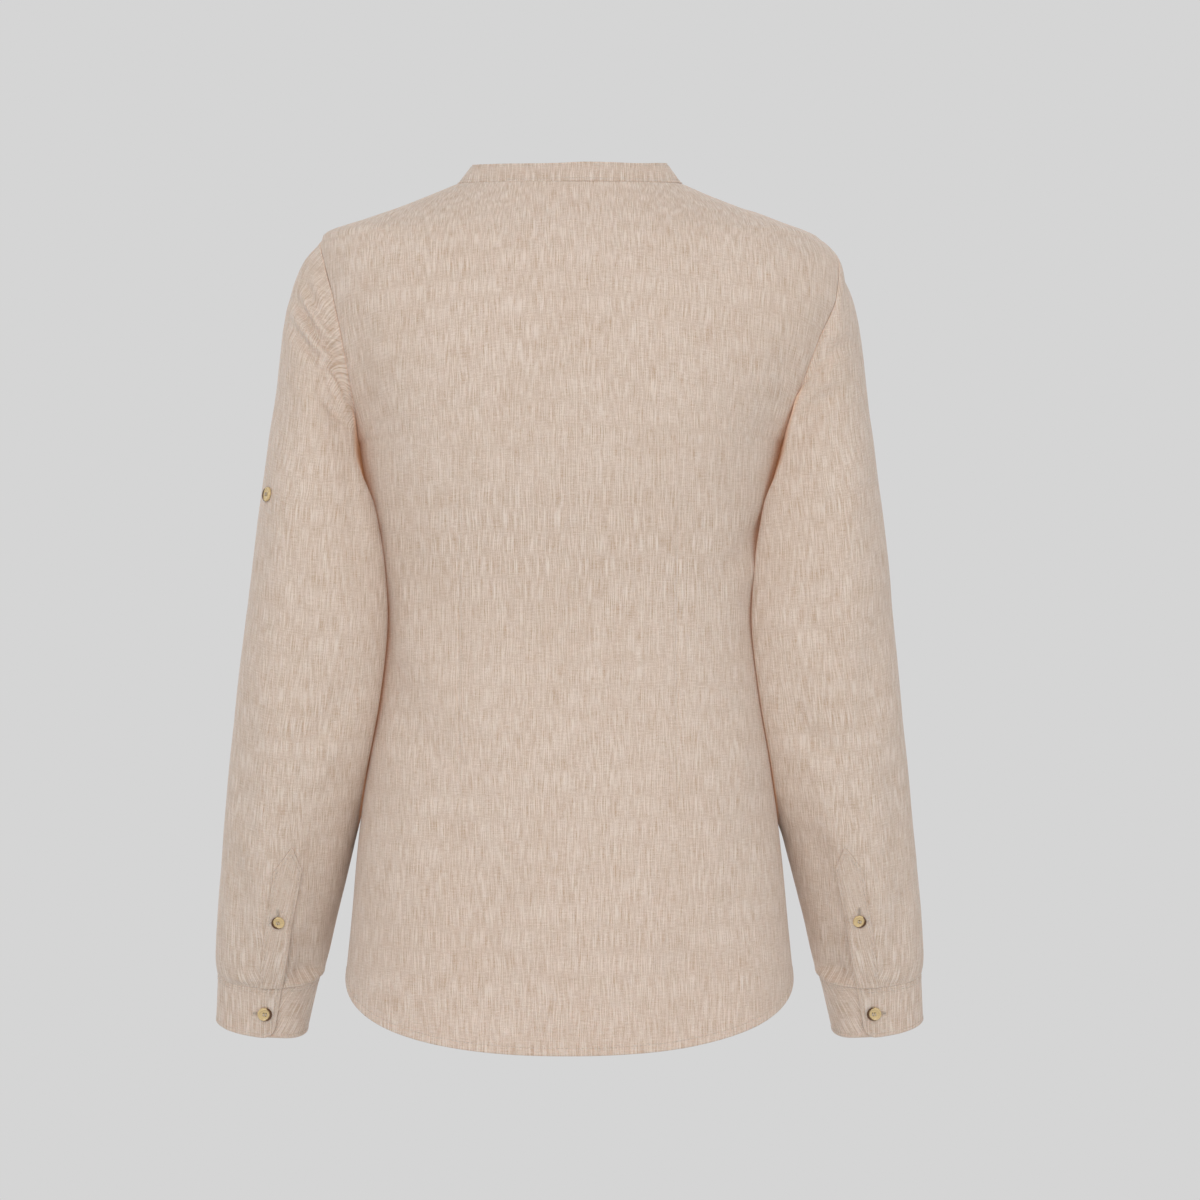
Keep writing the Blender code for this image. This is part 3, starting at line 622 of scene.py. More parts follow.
def cloth_mesh(name, points, uv, flip, closed=False):
    """Mesh of a grid of points with its cloth coordinates in metres as UV.  A closed grid's
    last column is joined to its first, and uv then has one column more than the points."""
    rows, columns = points.shape[:2]
    index = np.arange(rows * columns).reshape(rows, columns)
    around = np.concatenate([index, index[:, :1]], axis=1) if closed else index
    corner = np.arange(uv.shape[0] * uv.shape[1]).reshape(uv.shape[:2])

    def quads(a):
        q = np.stack([a[:-1, :-1], a[:-1, 1:], a[1:, 1:], a[1:, :-1]], axis=-1)
        return (q[..., ::-1] if flip else q).reshape(-1, 4)
    faces, uv_faces = quads(around), quads(corner)
    mesh = bpy.data.meshes.new(name)
    mesh.from_pydata(points.reshape(-1, 3).tolist(), [], faces.tolist())
    layer = mesh.uv_layers.new(name="cloth")
    layer.data.foreach_set("uv", uv.reshape(-1, 2)[uv_faces.ravel()].ravel())
    mesh.shade_smooth()
    return mesh


def cloth_object(name, node, points, uv, flip, settings, closed=False):
    """One layer of linen behind a grid of points, in place of a node of the frame."""
    obj = new_object(name, cloth_mesh(name, points, uv, flip, closed))
    wall = obj.modifiers.new("Cloth", "SOLIDIFY")
    wall.thickness = settings.cloth
    wall.offset = -1
    obj.data.materials.append(linen(settings))
    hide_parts(node)
    return obj


# ---- Stitches --------------------------------------------------------------------------

StitchLine = namedtuple("StitchLine", "points normals")


def line_on(surface, *parameters):
    """Line of stitches along a surface that gives points and normals."""
    points, normals = surface(*parameters)
    return StitchLine(points, normals)


def stitch_places(line, pitch, length):
    """Middles, directions and normals of the stitches along a line, evenly spaced."""
    along = lengths(line.points, 0)
    count = max(1, int((along[-1] - length) / pitch))
    middle = (np.arange(count) + 0.5) * along[-1] / count
    place = along_line(line.points, along, middle)
    direction = unit(along_line(line.points, along, middle + length / 2)
                     - along_line(line.points, along, middle - length / 2))
    normal = along_line(line.normals, along, middle)
    normal = unit(normal - direction * (normal * direction).sum(-1, keepdims=True))
    return place, direction, normal


STITCH_RING = 5             # corners of a thread's section
THREAD_SINK = 0.25          # part of a thread's radius that lies in the cloth
# Rings of a thread: place along it and width, as parts of its length and its radius.
STITCH_PROFILE = ((-0.5, 0.25), (-0.3, 0.9), (0.0, 1.0), (0.3, 0.9), (0.5, 0.25))


def thread_mesh(name, places, length, radius):
    """Joined mesh of short threads.  Each is a spindle: rings along its direction, whose
    radius follows STITCH_PROFILE, with both ends closed."""
    place, direction, normal = (np.concatenate(part) for part in zip(*places))
    side = np.cross(direction, normal)
    turn = np.arange(STITCH_RING) * 2 * math.pi / STITCH_RING
    rings = []
    for along, width in STITCH_PROFILE:
        arch = radius * (1 - (2 * along) ** 2) * 0.6 - radius * THREAD_SINK
        centre = place + direction * along * length + normal * arch
        ring = (centre[:, None, :]
                + radius * width * (np.cos(turn)[None, :, None] * side[:, None, :]
                                    + np.sin(turn)[None, :, None] * normal[:, None, :]))
        rings.append(ring)
    points = np.stack(rings, axis=1)
    per_stitch = len(STITCH_PROFILE) * STITCH_RING
    index = np.arange(per_stitch).reshape(len(STITCH_PROFILE), STITCH_RING)
    nxt = np.roll(index, -1, axis=1)
    sides = np.stack([index[:-1], nxt[:-1], nxt[1:], index[1:]], axis=-1).reshape(-1, 4)
    start = (np.arange(len(place)) * per_stitch)[:, None, None]
    quads = (sides[None] + start).reshape(-1, 4)
    caps = np.stack([index[0][::-1], index[-1]])
    caps = (caps[None] + start).reshape(-1, STITCH_RING)
    mesh = bpy.data.meshes.new(name)
    mesh.from_pydata(points.reshape(-1, 3).tolist(), [], quads.tolist() + caps.tolist())
    mesh.shade_smooth()
    return mesh


def sew(name, lines, material, pitch=STITCH_PITCH, length=STITCH_LENGTH):
    """A piece of joined stitches along lines on the cloth."""
    places = [stitch_places(line, pitch, length) for line in lines]
    obj = new_object(name, thread_mesh(name, places, length, STITCH_RADIUS))
    obj.data.materials.append(material)
    return obj


def buttonhole_places(centre, along, normal, hole):
    """Threads of a worked buttonhole: two rows of short bars across its length, and three
    long ones over each end."""
    across = np.cross(normal, along)
    count = int(hole / BUTTONHOLE_PITCH)
    steps = np.linspace(-0.5, 0.5, count) * hole
    rows = [centre + along * s + across * side * BUTTONHOLE_PITCH
            for side in (-1, 1) for s in steps]
    ends = [centre + along * end * 0.53 * hole + across * k * BUTTONHOLE_END_PITCH
            for end in (-1, 1) for k in (-1, 0, 1)]
    place = np.array(rows + ends)
    direction = np.array([across] * len(place))
    return place, direction, np.array([normal] * len(place))


def buttonholes(name, places, bar, settings):
    """A piece of worked buttonholes, with bars of thread of a given length."""
    obj = new_object(name, thread_mesh(name, places, bar, BUTTONHOLE_THREAD))
    obj.data.materials.append(thread(settings))
    return obj


# ---- Body ------------------------------------------------------------------------------

def body_relief(panel, points, across, station):
    """Depth below the plain surface of a body panel, in metres."""
    x, z = points[..., 0] / MM, points[..., 2] / MM
    folds = BACK_FOLDS if panel == "back" else FRONT_FOLDS
    depth = fold_depth(x, z, folds) * MM
    depth = depth + unevenness(points[..., 0], points[..., 2], SEED[panel])
    calm = smoothstep((1 - np.abs(across)) / SIDE_CALM)
    near_neck = smoothstep((NECK - station) / NECK_CALM)
    near_lap = 1.0 if panel == "back" else smoothstep(np.abs(points[..., 0]) / LAP_CALM)
    depth = depth * calm * near_neck * near_lap
    if panel == "back":
        along = np.clip((points[..., 2] - DART_FOOT) / (DART_TOP - DART_FOOT), 0, 1)
        strength = np.sin(math.pi * along) ** 0.35
        from_dart = np.abs(np.abs(points[..., 0]) - DART_X)
        groove = np.exp(-(from_dart / DART_GROOVE) ** 2)
        shoulder = 0.7 * np.exp(-(from_dart / DART_SHOULDER) ** 2)
        depth = depth + DART_DEPTH * strength * (groove + shoulder) * (along > 0) * (along < 1)
    return depth


def body_cloth(panel, side, across, station):
    """Points and outward normals of a finished body panel: its plain point less its relief
    and the sink at its seams, all along the normal."""
    across, station = np.broadcast_arrays(np.asarray(across, float),
                                          np.asarray(station, float))

    def plain(a, s):
        if panel == "back":
            return body_point("back", a, s)
        return front_point(side, a, s)
    step = NORMAL_STEP
    middle_a = np.clip(across, step - 1, 1 - step)
    middle_s = np.minimum(station, NECK - step)
    along_a = plain(middle_a + step, middle_s) - plain(middle_a - step, middle_s)
    along_s = plain(middle_a, middle_s + step) - plain(middle_a, middle_s - step)
    sign = 1.0 if panel == "back" else -1.0
    normal = unit(sign * np.cross(along_s, along_a))
    points = plain(across, station)
    depth = body_relief(panel, points, across, station)
    toward = np.where(across >= 0, 1.0, -1.0)
    margin = plain(toward * (1 - EDGE_PART), station) - plain(toward, station)
    from_side = (1 - np.abs(across)) * np.linalg.norm(margin, axis=-1) / EDGE_PART
    from_underarm = smoothstep(np.abs(station - ARMPIT) / 1.5)
    depth = depth + seam_sink(from_side) * from_underarm
    top = np.full_like(station, NECK)
    margin = plain(across, top - EDGE_STATION) - plain(across, top)
    from_neck = (NECK - station) * np.linalg.norm(margin, axis=-1) / EDGE_STATION
    depth = depth + seam_sink(from_neck)
    foot = np.zeros_like(station)
    margin = plain(across, foot + EDGE_STATION) - plain(across, foot)
    from_hem = station * np.linalg.norm(margin, axis=-1) / EDGE_STATION
    depth = depth + edge_relief(from_hem, HEM_WIDTH)
    return points - normal * depth[..., None], normal


def body_stations(panel, count):
    """Stations from hem to neck, evenly spaced along the panel's middle and edge."""
    def path(s):
        centre = body_point(panel, np.zeros_like(s), s)
        edge = body_point(panel, np.ones_like(s), s)
        return np.concatenate([centre, edge], axis=-1) / math.sqrt(2)
    fine = np.linspace(0, NECK, 2000)
    step = np.linalg.norm(np.diff(path(fine), axis=0), axis=-1)
    along = np.concatenate([[0], np.cumsum(step)])
    return np.interp(np.linspace(0, along[-1], count), along, fine)


def body_uv(points, centre_column):
    """Cloth coordinates: level distance from the centre line, and distance up from the
    middle row, so that the yarns run straight down the shirt."""
    u = lengths(points * [1, 1, 0], 1)
    u = u - u[:, centre_column:centre_column + 1]
    v = lengths(points, 0)
    middle = len(points) // 2
    v = v - v[middle:middle + 1]
    return np.stack([u, v], axis=-1)


def hem_line(panel, side, first, last, inset):
    """Line of stitches along the hem, a set distance above its edge."""
    across = np.linspace(first, last, HEM_LINE_POINTS)
    low, _ = body_cloth(panel, side, across, np.zeros_like(across))
    high, _ = body_cloth(panel, side, across, np.full_like(across, EDGE_STATION))
    per_station = np.linalg.norm(high - low, axis=-1) / EDGE_STATION
    return line_on(body_cloth, panel, side, across, inset / per_station)


# ---- Sleeves ---------------------------------------------------------------------------

RING_LENGTH = 0.29          # the mean distance round a sleeve
RING_PITCH = 0.016          # from one ring to the next near the cuff
# How far the outer side of each arm is drawn in between the shoulder and the cuff.
SLEEVE_TRIM = {"left": 2.4 * MM, "right": -1.6 * MM}
PLEAT = 0.5 * MM            # how far the gathered cloth stands out above the cuff
CUFF_DEPTH = 41 * MM
TOWER_FOOT = 0.3            # where the placket is sewn across, as a part of its length
PLACKET_SEAMS = (0.09, 0.91)    # where it is sewn down, as parts of its width
PLACKET_STAND = 2.8 * MM    # how far the placket's free edge stands off the sleeve


def armhole_shift(side, angle):
    """How far the finished body's armhole edge lies from the plain one."""
    station, at_back = armhole_station(angle)
    edge = np.full_like(station, OUTWARD[side])
    back = body_cloth("back", side, edge, station)[0] - body_point("back", edge, station)
    front = body_cloth("front", side, edge, station)[0] - body_point("front", edge, station)
    return np.where(at_back[..., None], back, front)


def sleeve_relief(side, angle, station, points, from_armhole):
    """Depth below the plain sleeve, in metres, faded where the body presses on it."""
    x, z = np.abs(points[..., 0]) / MM, points[..., 2] / MM
    behind = smoothstep(np.sin(angle) / 0.5 + 0.3)
    before = smoothstep(-np.sin(angle) / 0.5 + 0.3)
    depth = behind * fold_depth(x, z, SLEEVE_BACK_FOLDS[side])
    depth = depth + before * fold_depth(x, z, SLEEVE_FRONT_FOLDS)
    depth = depth * MM + unevenness(
        np.mod(angle, 2 * math.pi) * RING_LENGTH / (2 * math.pi),
        points[..., 2], SEED[side], RING_LENGTH)
    degrees = np.degrees(np.mod(angle, 2 * math.pi))
    for hollow in SLEEVE_HOLLOWS + SLEEVE_SHAPE[side]:
        turn = np.mod(degrees - hollow.degrees + 180, 360) - 180
        far = ((turn / hollow.degrees_wide) ** 2
               + ((station - hollow.station) / hollow.stations_long) ** 2)
        depth = depth + hollow.depth * MM * np.exp(-far)
    inner = smoothstep((-np.cos(angle) - 0.35) / 0.4) * smoothstep((12.5 - station) / 2)
    depth = depth + SLEEVE_TRIM[side] * smoothstep(np.cos(angle) * 1.6 - 0.2) * (
        smoothstep((station - 3) / 2) * smoothstep((11 - station) / 3))
    start = smoothstep(from_armhole / (7 * MM))
    end = smoothstep((CUFF_SEAM - station) / 0.35)
    from_cuff = np.maximum((CUFF_SEAM - station) * RING_PITCH, 0)
    pleats = PLEAT * (0.35 + 0.65 * np.sin(angle * 13 + 2 * np.sin(angle * 3)))
    puff = -pleats * smoothstep((20 * MM - from_cuff) / (15 * MM))
    puff = puff * smoothstep(from_cuff / (5 * MM)) * (station < CUFF_SEAM)
    return depth * (1 - inner) * start * end + puff + CUFF_SINK * seam_sink(from_cuff)


def sleeve_cloth(side, angle, station):
    """Points and outward normals of the finished sleeve, or of the cuff below it."""
    angle, station = np.broadcast_arrays(np.asarray(angle, float),
                                         np.asarray(station, float))
    step = NORMAL_STEP
    low = np.maximum(station - step, 0)
    after = sleeve_point(side, angle + step, station)
    before = sleeve_point(side, angle - step, station)
    along_s = sleeve_point(side, angle, station + step) - sleeve_point(side, angle, low)
    normal = unit(-OUTWARD[side] * np.cross(after - before, along_s))
    points = sleeve_point(side, angle, station)
    first = sleeve_point(side, angle, np.full_like(station, 0.1))
    first = first - sleeve_point(side, angle, np.zeros_like(station))
    from_armhole = station * np.linalg.norm(first, axis=-1) / 0.1
    depth = sleeve_relief(side, angle, station, points, from_armhole)
    points = points + armhole_shift(side, angle) * seam_round(from_armhole)[..., None]
    return points - normal * depth[..., None], normal


def sleeve_stations(first, last, count):
    """Stations evenly spaced along the sleeve's outer and back lines."""
    fine = np.linspace(first, last, 1500)
    outer = sleeve_point("left", np.zeros_like(fine), fine)
    back = sleeve_point("left", np.full_like(fine, math.pi / 2), fine)
    step = np.linalg.norm(np.diff(outer, axis=0), axis=-1)
    step = step + np.linalg.norm(np.diff(back, axis=0), axis=-1)
    along = np.concatenate([[0], np.cumsum(step)])
    return np.interp(np.linspace(0, along[-1], count), along, fine)


def ring_uv(points):
    """Cloth coordinates of a strip: distance along it, and distance up from its edge."""
    u = lengths(points, 1)
    v = lengths(points, 0)
    return np.stack([u, v[-1:] - v], axis=-1)


def sleeve_uv(points):
    """Cloth coordinates of a closed sleeve: distance round from its outer line as seen along
    the sleeve, and distance up from its end, so that the yarns run straight down it."""
    ring = np.concatenate([points, points[:, :1]], axis=1)
    axis = points[-1].mean(axis=0) - points[len(points) // 3].mean(axis=0)
    axis /= np.linalg.norm(axis)
    u = lengths(ring - (ring @ axis)[..., None] * axis, 1)
    outer = points.shape[1] // 2
    v = lengths(ring, 0)
    return np.stack([u - u[:, outer:outer + 1], v[-1:] - v], axis=-1)


def cuff_cloth(side, turned, height):
    """Points and normals of the cuff: height is 0 at its seam and 1 at its edge.  It sinks
    below its own free edge after a full turn, and that edge's corner is rounded."""
    turned, height = np.broadcast_arrays(np.asarray(turned, float),
                                         np.asarray(height, float))
    angle = np.radians(OPENING_ANGLE - turned)
    edge = sleeve_point(side, angle, np.full_like(angle, CUFF_EDGE))
    corner = sleeve_point(side, np.radians(OPENING_ANGLE) * np.ones_like(angle),
                          np.full_like(angle, CUFF_EDGE))
    from_edge = np.where(turned < 90, np.linalg.norm(edge - corner, axis=-1), 1.0)
    cut = np.clip(CUFF_CORNER - from_edge, 0, CUFF_CORNER)
    drop = (CUFF_CORNER - np.sqrt(CUFF_CORNER ** 2 - cut ** 2)) / CUFF_DEPTH
    station = CUFF_SEAM + height * (CUFF_EDGE - CUFF_SEAM) * (1 - drop)
    start = 360 - CUFF_DIVE
    sink = (CLOTH + LAYER_GAP) * smoothstep((turned - start) / CUFF_DIVE)
    waves = 0.5 * unevenness(turned * RING_PITCH / 12, height * CUFF_DEPTH, SEED["cuff"])
    sink = sink + waves * smoothstep(turned / 12)
    sink = sink + edge_relief((1 - height) * CUFF_DEPTH, 4 * MM)
    sink = sink + CUFF_SINK * seam_sink(height * CUFF_DEPTH)
    points, normal = sleeve_cloth(side, angle, station)
    return points - normal * sink[..., None], normal


def placket_cloth(side, part, down):
    """Points and normals of the sleeve placket: part is 0 at its free edge and 1 at its sewn
    edge, down is 0 at its pointed top and 1 at the cuff.  The free edge stands off a little."""
    part, down = np.broadcast_arrays(np.asarray(part, float), np.asarray(down, float))
    peak = 1 - np.abs(2 * part - 1)
    top = PLACKET_SHOULDER + (PLACKET_TOP - PLACKET_SHOULDER) * peak
    station = top + (CUFF_SEAM - 0.01 - top) * down
    angle = np.radians(OPENING_ANGLE - PLACKET_WIDTH * part)
    standing = PLACKET_STAND * smoothstep((0.35 - part) / 0.35)
    standing = standing * smoothstep((down - 0.28) / 0.2) * smoothstep((1 - down) / 0.12)
    sewn = sum(np.exp(-((part - seam) / 0.04) ** 2) for seam in PLACKET_SEAMS)
    sewn = sewn + np.exp(-((down - TOWER_FOOT) / 0.012) ** 2)
    rise = CLOTH + standing - GROOVE * np.minimum(sewn, 1)
    points, normal = sleeve_cloth(side, angle, station)
    return points + normal * rise[..., None], normal


# ---- Collar ----------------------------------------------------------------------------

def collar_seam(count):
    """Points of the collar seam, evenly spaced from its left front end round the back to
    its right one, as worked out on the neck edges of the fronts and the back."""
    neck = np.full(200, float(NECK))
    ends = []
    for side, sign in OUTWARD.items():
        first = front_across(np.array([sign * COLLAR_END_GAP]), neck[:1])[0]
        across = np.linspace(first, sign, len(neck))
        ends.append(front_point(side, across, neck))
    back = body_point("back", np.linspace(1, -1, 400), float(NECK))
    line = np.concatenate([ends[0][:-1], back, ends[1][::-1][1:]])
    along = lengths(line, 0)
    even = np.linspace(0, along[-1], count)
    return along_line(line, along, even)


def collar_cloth(part, height):
    """Points and normals of the collar band: part runs from 0 at its left front end to 1 at
    its right one, height from 0 at the seam to 1 at the top.  The band leans in as it rises
    and is lower towards its two ends, where its corners are rounded."""
    part, height = np.broadcast_arrays(np.asarray(part, float), np.asarray(height, float))
    line = collar_seam(COLLAR_SEAM_POINTS)
    length = lengths(line, 0)[-1]

    def plain(p, h):
        base = along_line(line, np.linspace(0, 1, len(line)), p)
        from_end = np.minimum(p, 1 - p) * length
        cut = np.clip(COLLAR_CORNER - from_end, 0, COLLAR_CORNER)
        drop = COLLAR_CORNER - np.sqrt(COLLAR_CORNER ** 2 - cut ** 2)
        h = h * (1 - drop / COLLAR_BAND)
        depth = np.where(base[..., 1] > 0, BODY_ROWS[NECK].back_y, -BODY_ROWS[NECK].front_y)
        toward = np.clip(base[..., 1] / (depth * MM), -1, 1)
        x = base[..., 0] * (1 - COLLAR_LEAN_X * h)
        y = base[..., 1] - COLLAR_LEAN_Y * toward * h
        z = base[..., 2] + COLLAR_RISE * h
        return np.stack([x, y, z], axis=-1)
    step = COLLAR_STEP
    mid_p = np.clip(part, step, 1 - step)
    mid_h = np.clip(height, step, 1 - step)
    normal = unit(np.cross(plain(mid_p + step, mid_h) - plain(mid_p - step, mid_h),
                           plain(mid_p, mid_h - step) - plain(mid_p, mid_h + step)))
    depth = COLLAR_WAVE * unevenness(part * length, height * COLLAR_BAND, SEED["collar"])
    depth = depth + seam_sink(height * COLLAR_BAND)
    depth = depth + edge_relief((1 - height) * COLLAR_BAND, 3.4 * MM)
    points = plain(part, height) - normal * depth[..., None]
    sag = lattice_noise(part * COLLAR_SAG_WAVES, part * 0, SEED["collar_top"], LATTICE)
    points[..., 2] += COLLAR_SAG * sag * height ** 2
    return points, normal


# ---- Buttons ---------------------------------------------------------------------------

def button_points(radius):
    """Points of a button facing +Z: the half section of BUTTON_PROFILE turned about Z, less
    four round dimples in its face."""
    part = np.linspace(0, len(BUTTON_PROFILE) - 1, BUTTON_ROWS)[1:, None]
    turn = np.linspace(0, 2 * math.pi, BUTTON_COLUMNS, endpoint=False)[None, :]
    r = column(BUTTON_PROFILE, "radius", part)
    x, y = r * np.cos(turn), r * np.sin(turn)
    z = column(BUTTON_PROFILE, "height", part) + np.zeros_like(x)
    for hole_x in (-HOLE_AT, HOLE_AT):
        for hole_y in (-HOLE_AT, HOLE_AT):
            from_hole = np.hypot(x - hole_x, y - hole_y)
            dimple = smoothstep((HOLE_RADIUS - from_hole) / (0.5 * HOLE_RADIUS))
            z = z - HOLE_DEPTH * dimple * (part < FACE_ROWS)
    return np.stack([x, y, z], axis=-1) * radius


def button_axes(normal):
    """Axes of a button: level, upwards and out of the cloth along the normal."""
    side = unit(np.cross(UP, normal))
    return np.stack([side, np.cross(normal, side), normal])


def button_object(name, node, radius, place, normal, turn, material, thread):
    """A button with its sewing threads.  Its dark crescent, partly dark horn and partly painted
    shadow, lies at the angle turn.
    """
    axes = button_axes(normal)
    local = button_points(radius)
    c, s = math.cos(turn), math.sin(turn)
    x, y = local[..., 0] / radius, local[..., 1] / radius
    uv = np.stack([x * c + y * s, y * c - x * s], axis=-1)
    uv = np.concatenate([uv, uv[:, :1]], axis=1)
    obj = new_object(name, cloth_mesh(name, place + local @ axes, uv, True, closed=True))
    obj.data.materials.append(material)
    fill_ends(obj, *local.shape[:2])
    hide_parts(node)
    side, rise = axes[0], axes[1]
    height = (THREAD_FACE + THREAD_RISE) * radius
    middle = np.array([
        place + normal * height + side * (end * HOLE_AT + k * THREAD_SPREAD) * radius
        for end in (-1, 1) for k in (-1, 0, 1)])
    sewing = (middle, np.array([rise] * len(middle)), np.array([normal] * len(middle)))
    mesh = thread_mesh(name + "_thread", [sewing], THREAD_REACH * HOLE_AT * radius,
                       THREAD_RADIUS * radius)
    bars = new_object(name + "_thread", mesh)
    bars.data.materials.append(thread)


def fill_ends(obj, rows, columns):
    """Closes the first and last ring of a turned grid, each with one face."""
    bm = bmesh.new()
    bm.from_mesh(obj.data)
    bm.verts.ensure_lookup_table()
    layer = bm.loops.layers.uv.active
    last = (rows - 1) * columns
    for ring in (bm.verts[:columns], bm.verts[last:][::-1]):
        face = bm.faces.new(ring)
        face.smooth = True
        for loop in face.loops:
            loop[layer].uv = (0.0, 0.0)
    bm.to_mesh(obj.data)
    bm.free()


# ---- Materials -------------------------------------------------------------------------

def add_node(tree, kind, **settings):
    """A new node of a kind, with its settings."""
    made = tree.nodes.new(kind)
    for name, value in settings.items():
        setattr(made, name, value)
    return made


def feed(tree, socket, value):
    """Gives an input a value: another socket's, or a number or colour."""
    if isinstance(value, bpy.types.NodeSocket):
        tree.links.new(value, socket)
    else:
        socket.default_value = value


def calculate(tree, operation, a, b=0.0):
    """Output of a maths node on one or two inputs, each a socket or a number."""
    made = add_node(tree, "ShaderNodeMath", operation=operation)
    feed(tree, made.inputs[0], a)
    feed(tree, made.inputs[1], b)
    return made.outputs[0]


def weighted_sum(tree, layers, shares):
    """Sum of the named layers, each times its share."""
    total = 0.0
    for name, share in shares.items():
        part = calculate(tree, "MULTIPLY", layers[name], share)
        total = calculate(tree, "ADD", total, part)
    return total


def flat_distance(tree, x, y):
    """Length of the arrow whose two sides are x and y."""
    squares = [calculate(tree, "MULTIPLY", value, value) for value in (x, y)]
    return calculate(tree, "SQRT", calculate(tree, "ADD", *squares))


def streaks(tree, vector, across, along, detail=1.0):
    """Noise with so many changes a metre across the cloth and along it."""
    scaled = add_node(tree, "ShaderNodeVectorMath", operation="MULTIPLY")
    tree.links.new(vector, scaled.inputs[0])
    scaled.inputs[1].default_value = (across, along, 1.0)
    noise = add_node(tree, "ShaderNodeTexNoise")
    noise.inputs["Scale"].default_value = 1.0
    noise.inputs["Detail"].default_value = detail
    tree.links.new(scaled.outputs[0], noise.inputs["Vector"])
    return noise.outputs[0]


def blend_colours(tree, amount, a, b):
    """Colour a with an amount of colour b in it."""
    mix = add_node(tree, "ShaderNodeMix", data_type="RGBA")
    tree.links.new(amount, mix.inputs[0])
    feed(tree, mix.inputs[6], a)
    feed(tree, mix.inputs[7], b)
    return mix.outputs[2]


def remap(tree, value, low, high):
    """The value's part of the way from low to high, clamped to 0 and 1."""
    made = add_node(tree, "ShaderNodeMapRange", clamp=True)
    made.inputs["From Min"].default_value = low
    made.inputs["From Max"].default_value = high
    tree.links.new(value, made.inputs["Value"])
    return made.outputs[0]


Streaks = namedtuple("Streaks", "across along detail")
# Noises of the weave: changes in a metre across the cloth and along it, and their detail.
WEAVE = {
    "warp": Streaks(1350, 60, 1.0),
    "pale_warp": Streaks(1350, 50, 0.0),
    "broad": Streaks(330, 30, 1.0),
    "weft": Streaks(120, 1150, 1.0),
    "yarn": Streaks(1500, 900, 1.0),
    "tone": Streaks(55, 30, 2.0),
    "patch": Streaks(14, 9, 2.0),
}
SHADE_SHARES = {"warp": 0.46, "broad": 0.03, "weft": 0.21, "yarn": 0.25, "tone": 0.05}
HEIGHT_SHARES = {"warp": 0.5, "yarn": 0.5, "weft": 0.4}
SHADE_REACH = 0.145         # from the mean shade to the lightest and the darkest yarns
HAIRS = 0.7                 # how much lighter the pale hairs along the warp are
PATCHES = 0.14              # how much darker the broad patches of the cloth are
SWAY = Streaks(16, 40, 1.0)     # of the warp from its straight line
SWAY_WIDTH = 2.5 * MM
YARN_HEIGHT = 0.3 * MM
BLACK = (0.0, 0.0, 0.0, 1.0)
PAINTED_CONTACT_GLOW = (0.16, 0.075, 0.035, 1.0)    # painted warm light: an emission that stands in for light coming through two thin layers


def weave_group(settings):
    """Node group of the slubby linen weave: colour, a normal with its yarns in it, and a
    painted warm glow where two pieces lie together, which stands in for the light that the
    thin cloth lets through.  The cloth's own coordinates are in metres, with yarns running
    down it and across it."""
    group = bpy.data.node_groups.new("slub_weave", "ShaderNodeTree")
    for name in ("Light", "Middle", "Dark"):
        group.interface.new_socket(name, in_out="INPUT", socket_type="NodeSocketColor")
    for name, kind in (("Color", "Color"), ("Normal", "Vector"), ("Glow", "Color")):
        group.interface.new_socket(name, in_out="OUTPUT", socket_type="NodeSocket" + kind)
    given = group.nodes.new("NodeGroupInput")
    result = group.nodes.new("NodeGroupOutput")
    uv = add_node(group, "ShaderNodeUVMap", uv_map="cloth").outputs[0]
    sway = calculate(group, "SUBTRACT", streaks(group, uv, *SWAY), 0.5)
    shift = calculate(group, "MULTIPLY", sway, SWAY_WIDTH)
    parts = add_node(group, "ShaderNodeSeparateXYZ")
    group.links.new(uv, parts.inputs[0])
    swayed = add_node(group, "ShaderNodeCombineXYZ")
    group.links.new(calculate(group, "ADD", parts.outputs[0], shift), swayed.inputs[0])
    group.links.new(parts.outputs[1], swayed.inputs[1])
    layers = {name: streaks(group, swayed.outputs[0], *each) for name, each in WEAVE.items()}
    shade = weighted_sum(group, layers, SHADE_SHARES)
    reach = SHADE_REACH / settings.slub_strength
    light = remap(group, shade, 0.5, 0.5 + reach)
    dark = remap(group, shade, 0.5, 0.5 - reach)
    colour = blend_colours(group, light, given.outputs["Middle"], given.outputs["Light"])
    colour = blend_colours(group, dark, colour, given.outputs["Dark"])
    hairs = calculate(group, "MULTIPLY", remap(group, layers["pale_warp"], 0.56, 0.70), HAIRS)
    colour = blend_colours(group, hairs, colour, given.outputs["Light"])
    patches = calculate(group, "MULTIPLY", remap(group, layers["patch"], 0.45, 0.75), PATCHES)
    colour = blend_colours(group, patches, colour, given.outputs["Dark"])
    bump = add_node(group, "ShaderNodeBump")
    bump.inputs["Strength"].default_value = settings.weave_depth
    bump.inputs["Distance"].default_value = YARN_HEIGHT
    group.links.new(weighted_sum(group, layers, HEIGHT_SHARES), bump.inputs["Height"])
    # Painted warm light where a sleeve lies against the body, later fed to the emission.
    painted_glow_mask = add_node(group, "ShaderNodeAttribute", attribute_name="painted_glow_mask").outputs["Fac"]
    glow = blend_colours(group, painted_glow_mask, BLACK, PAINTED_CONTACT_GLOW)
    group.links.new(colour, result.inputs["Color"])
    group.links.new(bump.outputs[0], result.inputs["Normal"])
    group.links.new(glow, result.inputs["Glow"])
    return group


def new_material(name):
    """A material, with its node tree and its shader."""
    material = bpy.data.materials.new(name)
    material.use_nodes = True
    return material, material.node_tree, material.node_tree.nodes["Principled BSDF"]


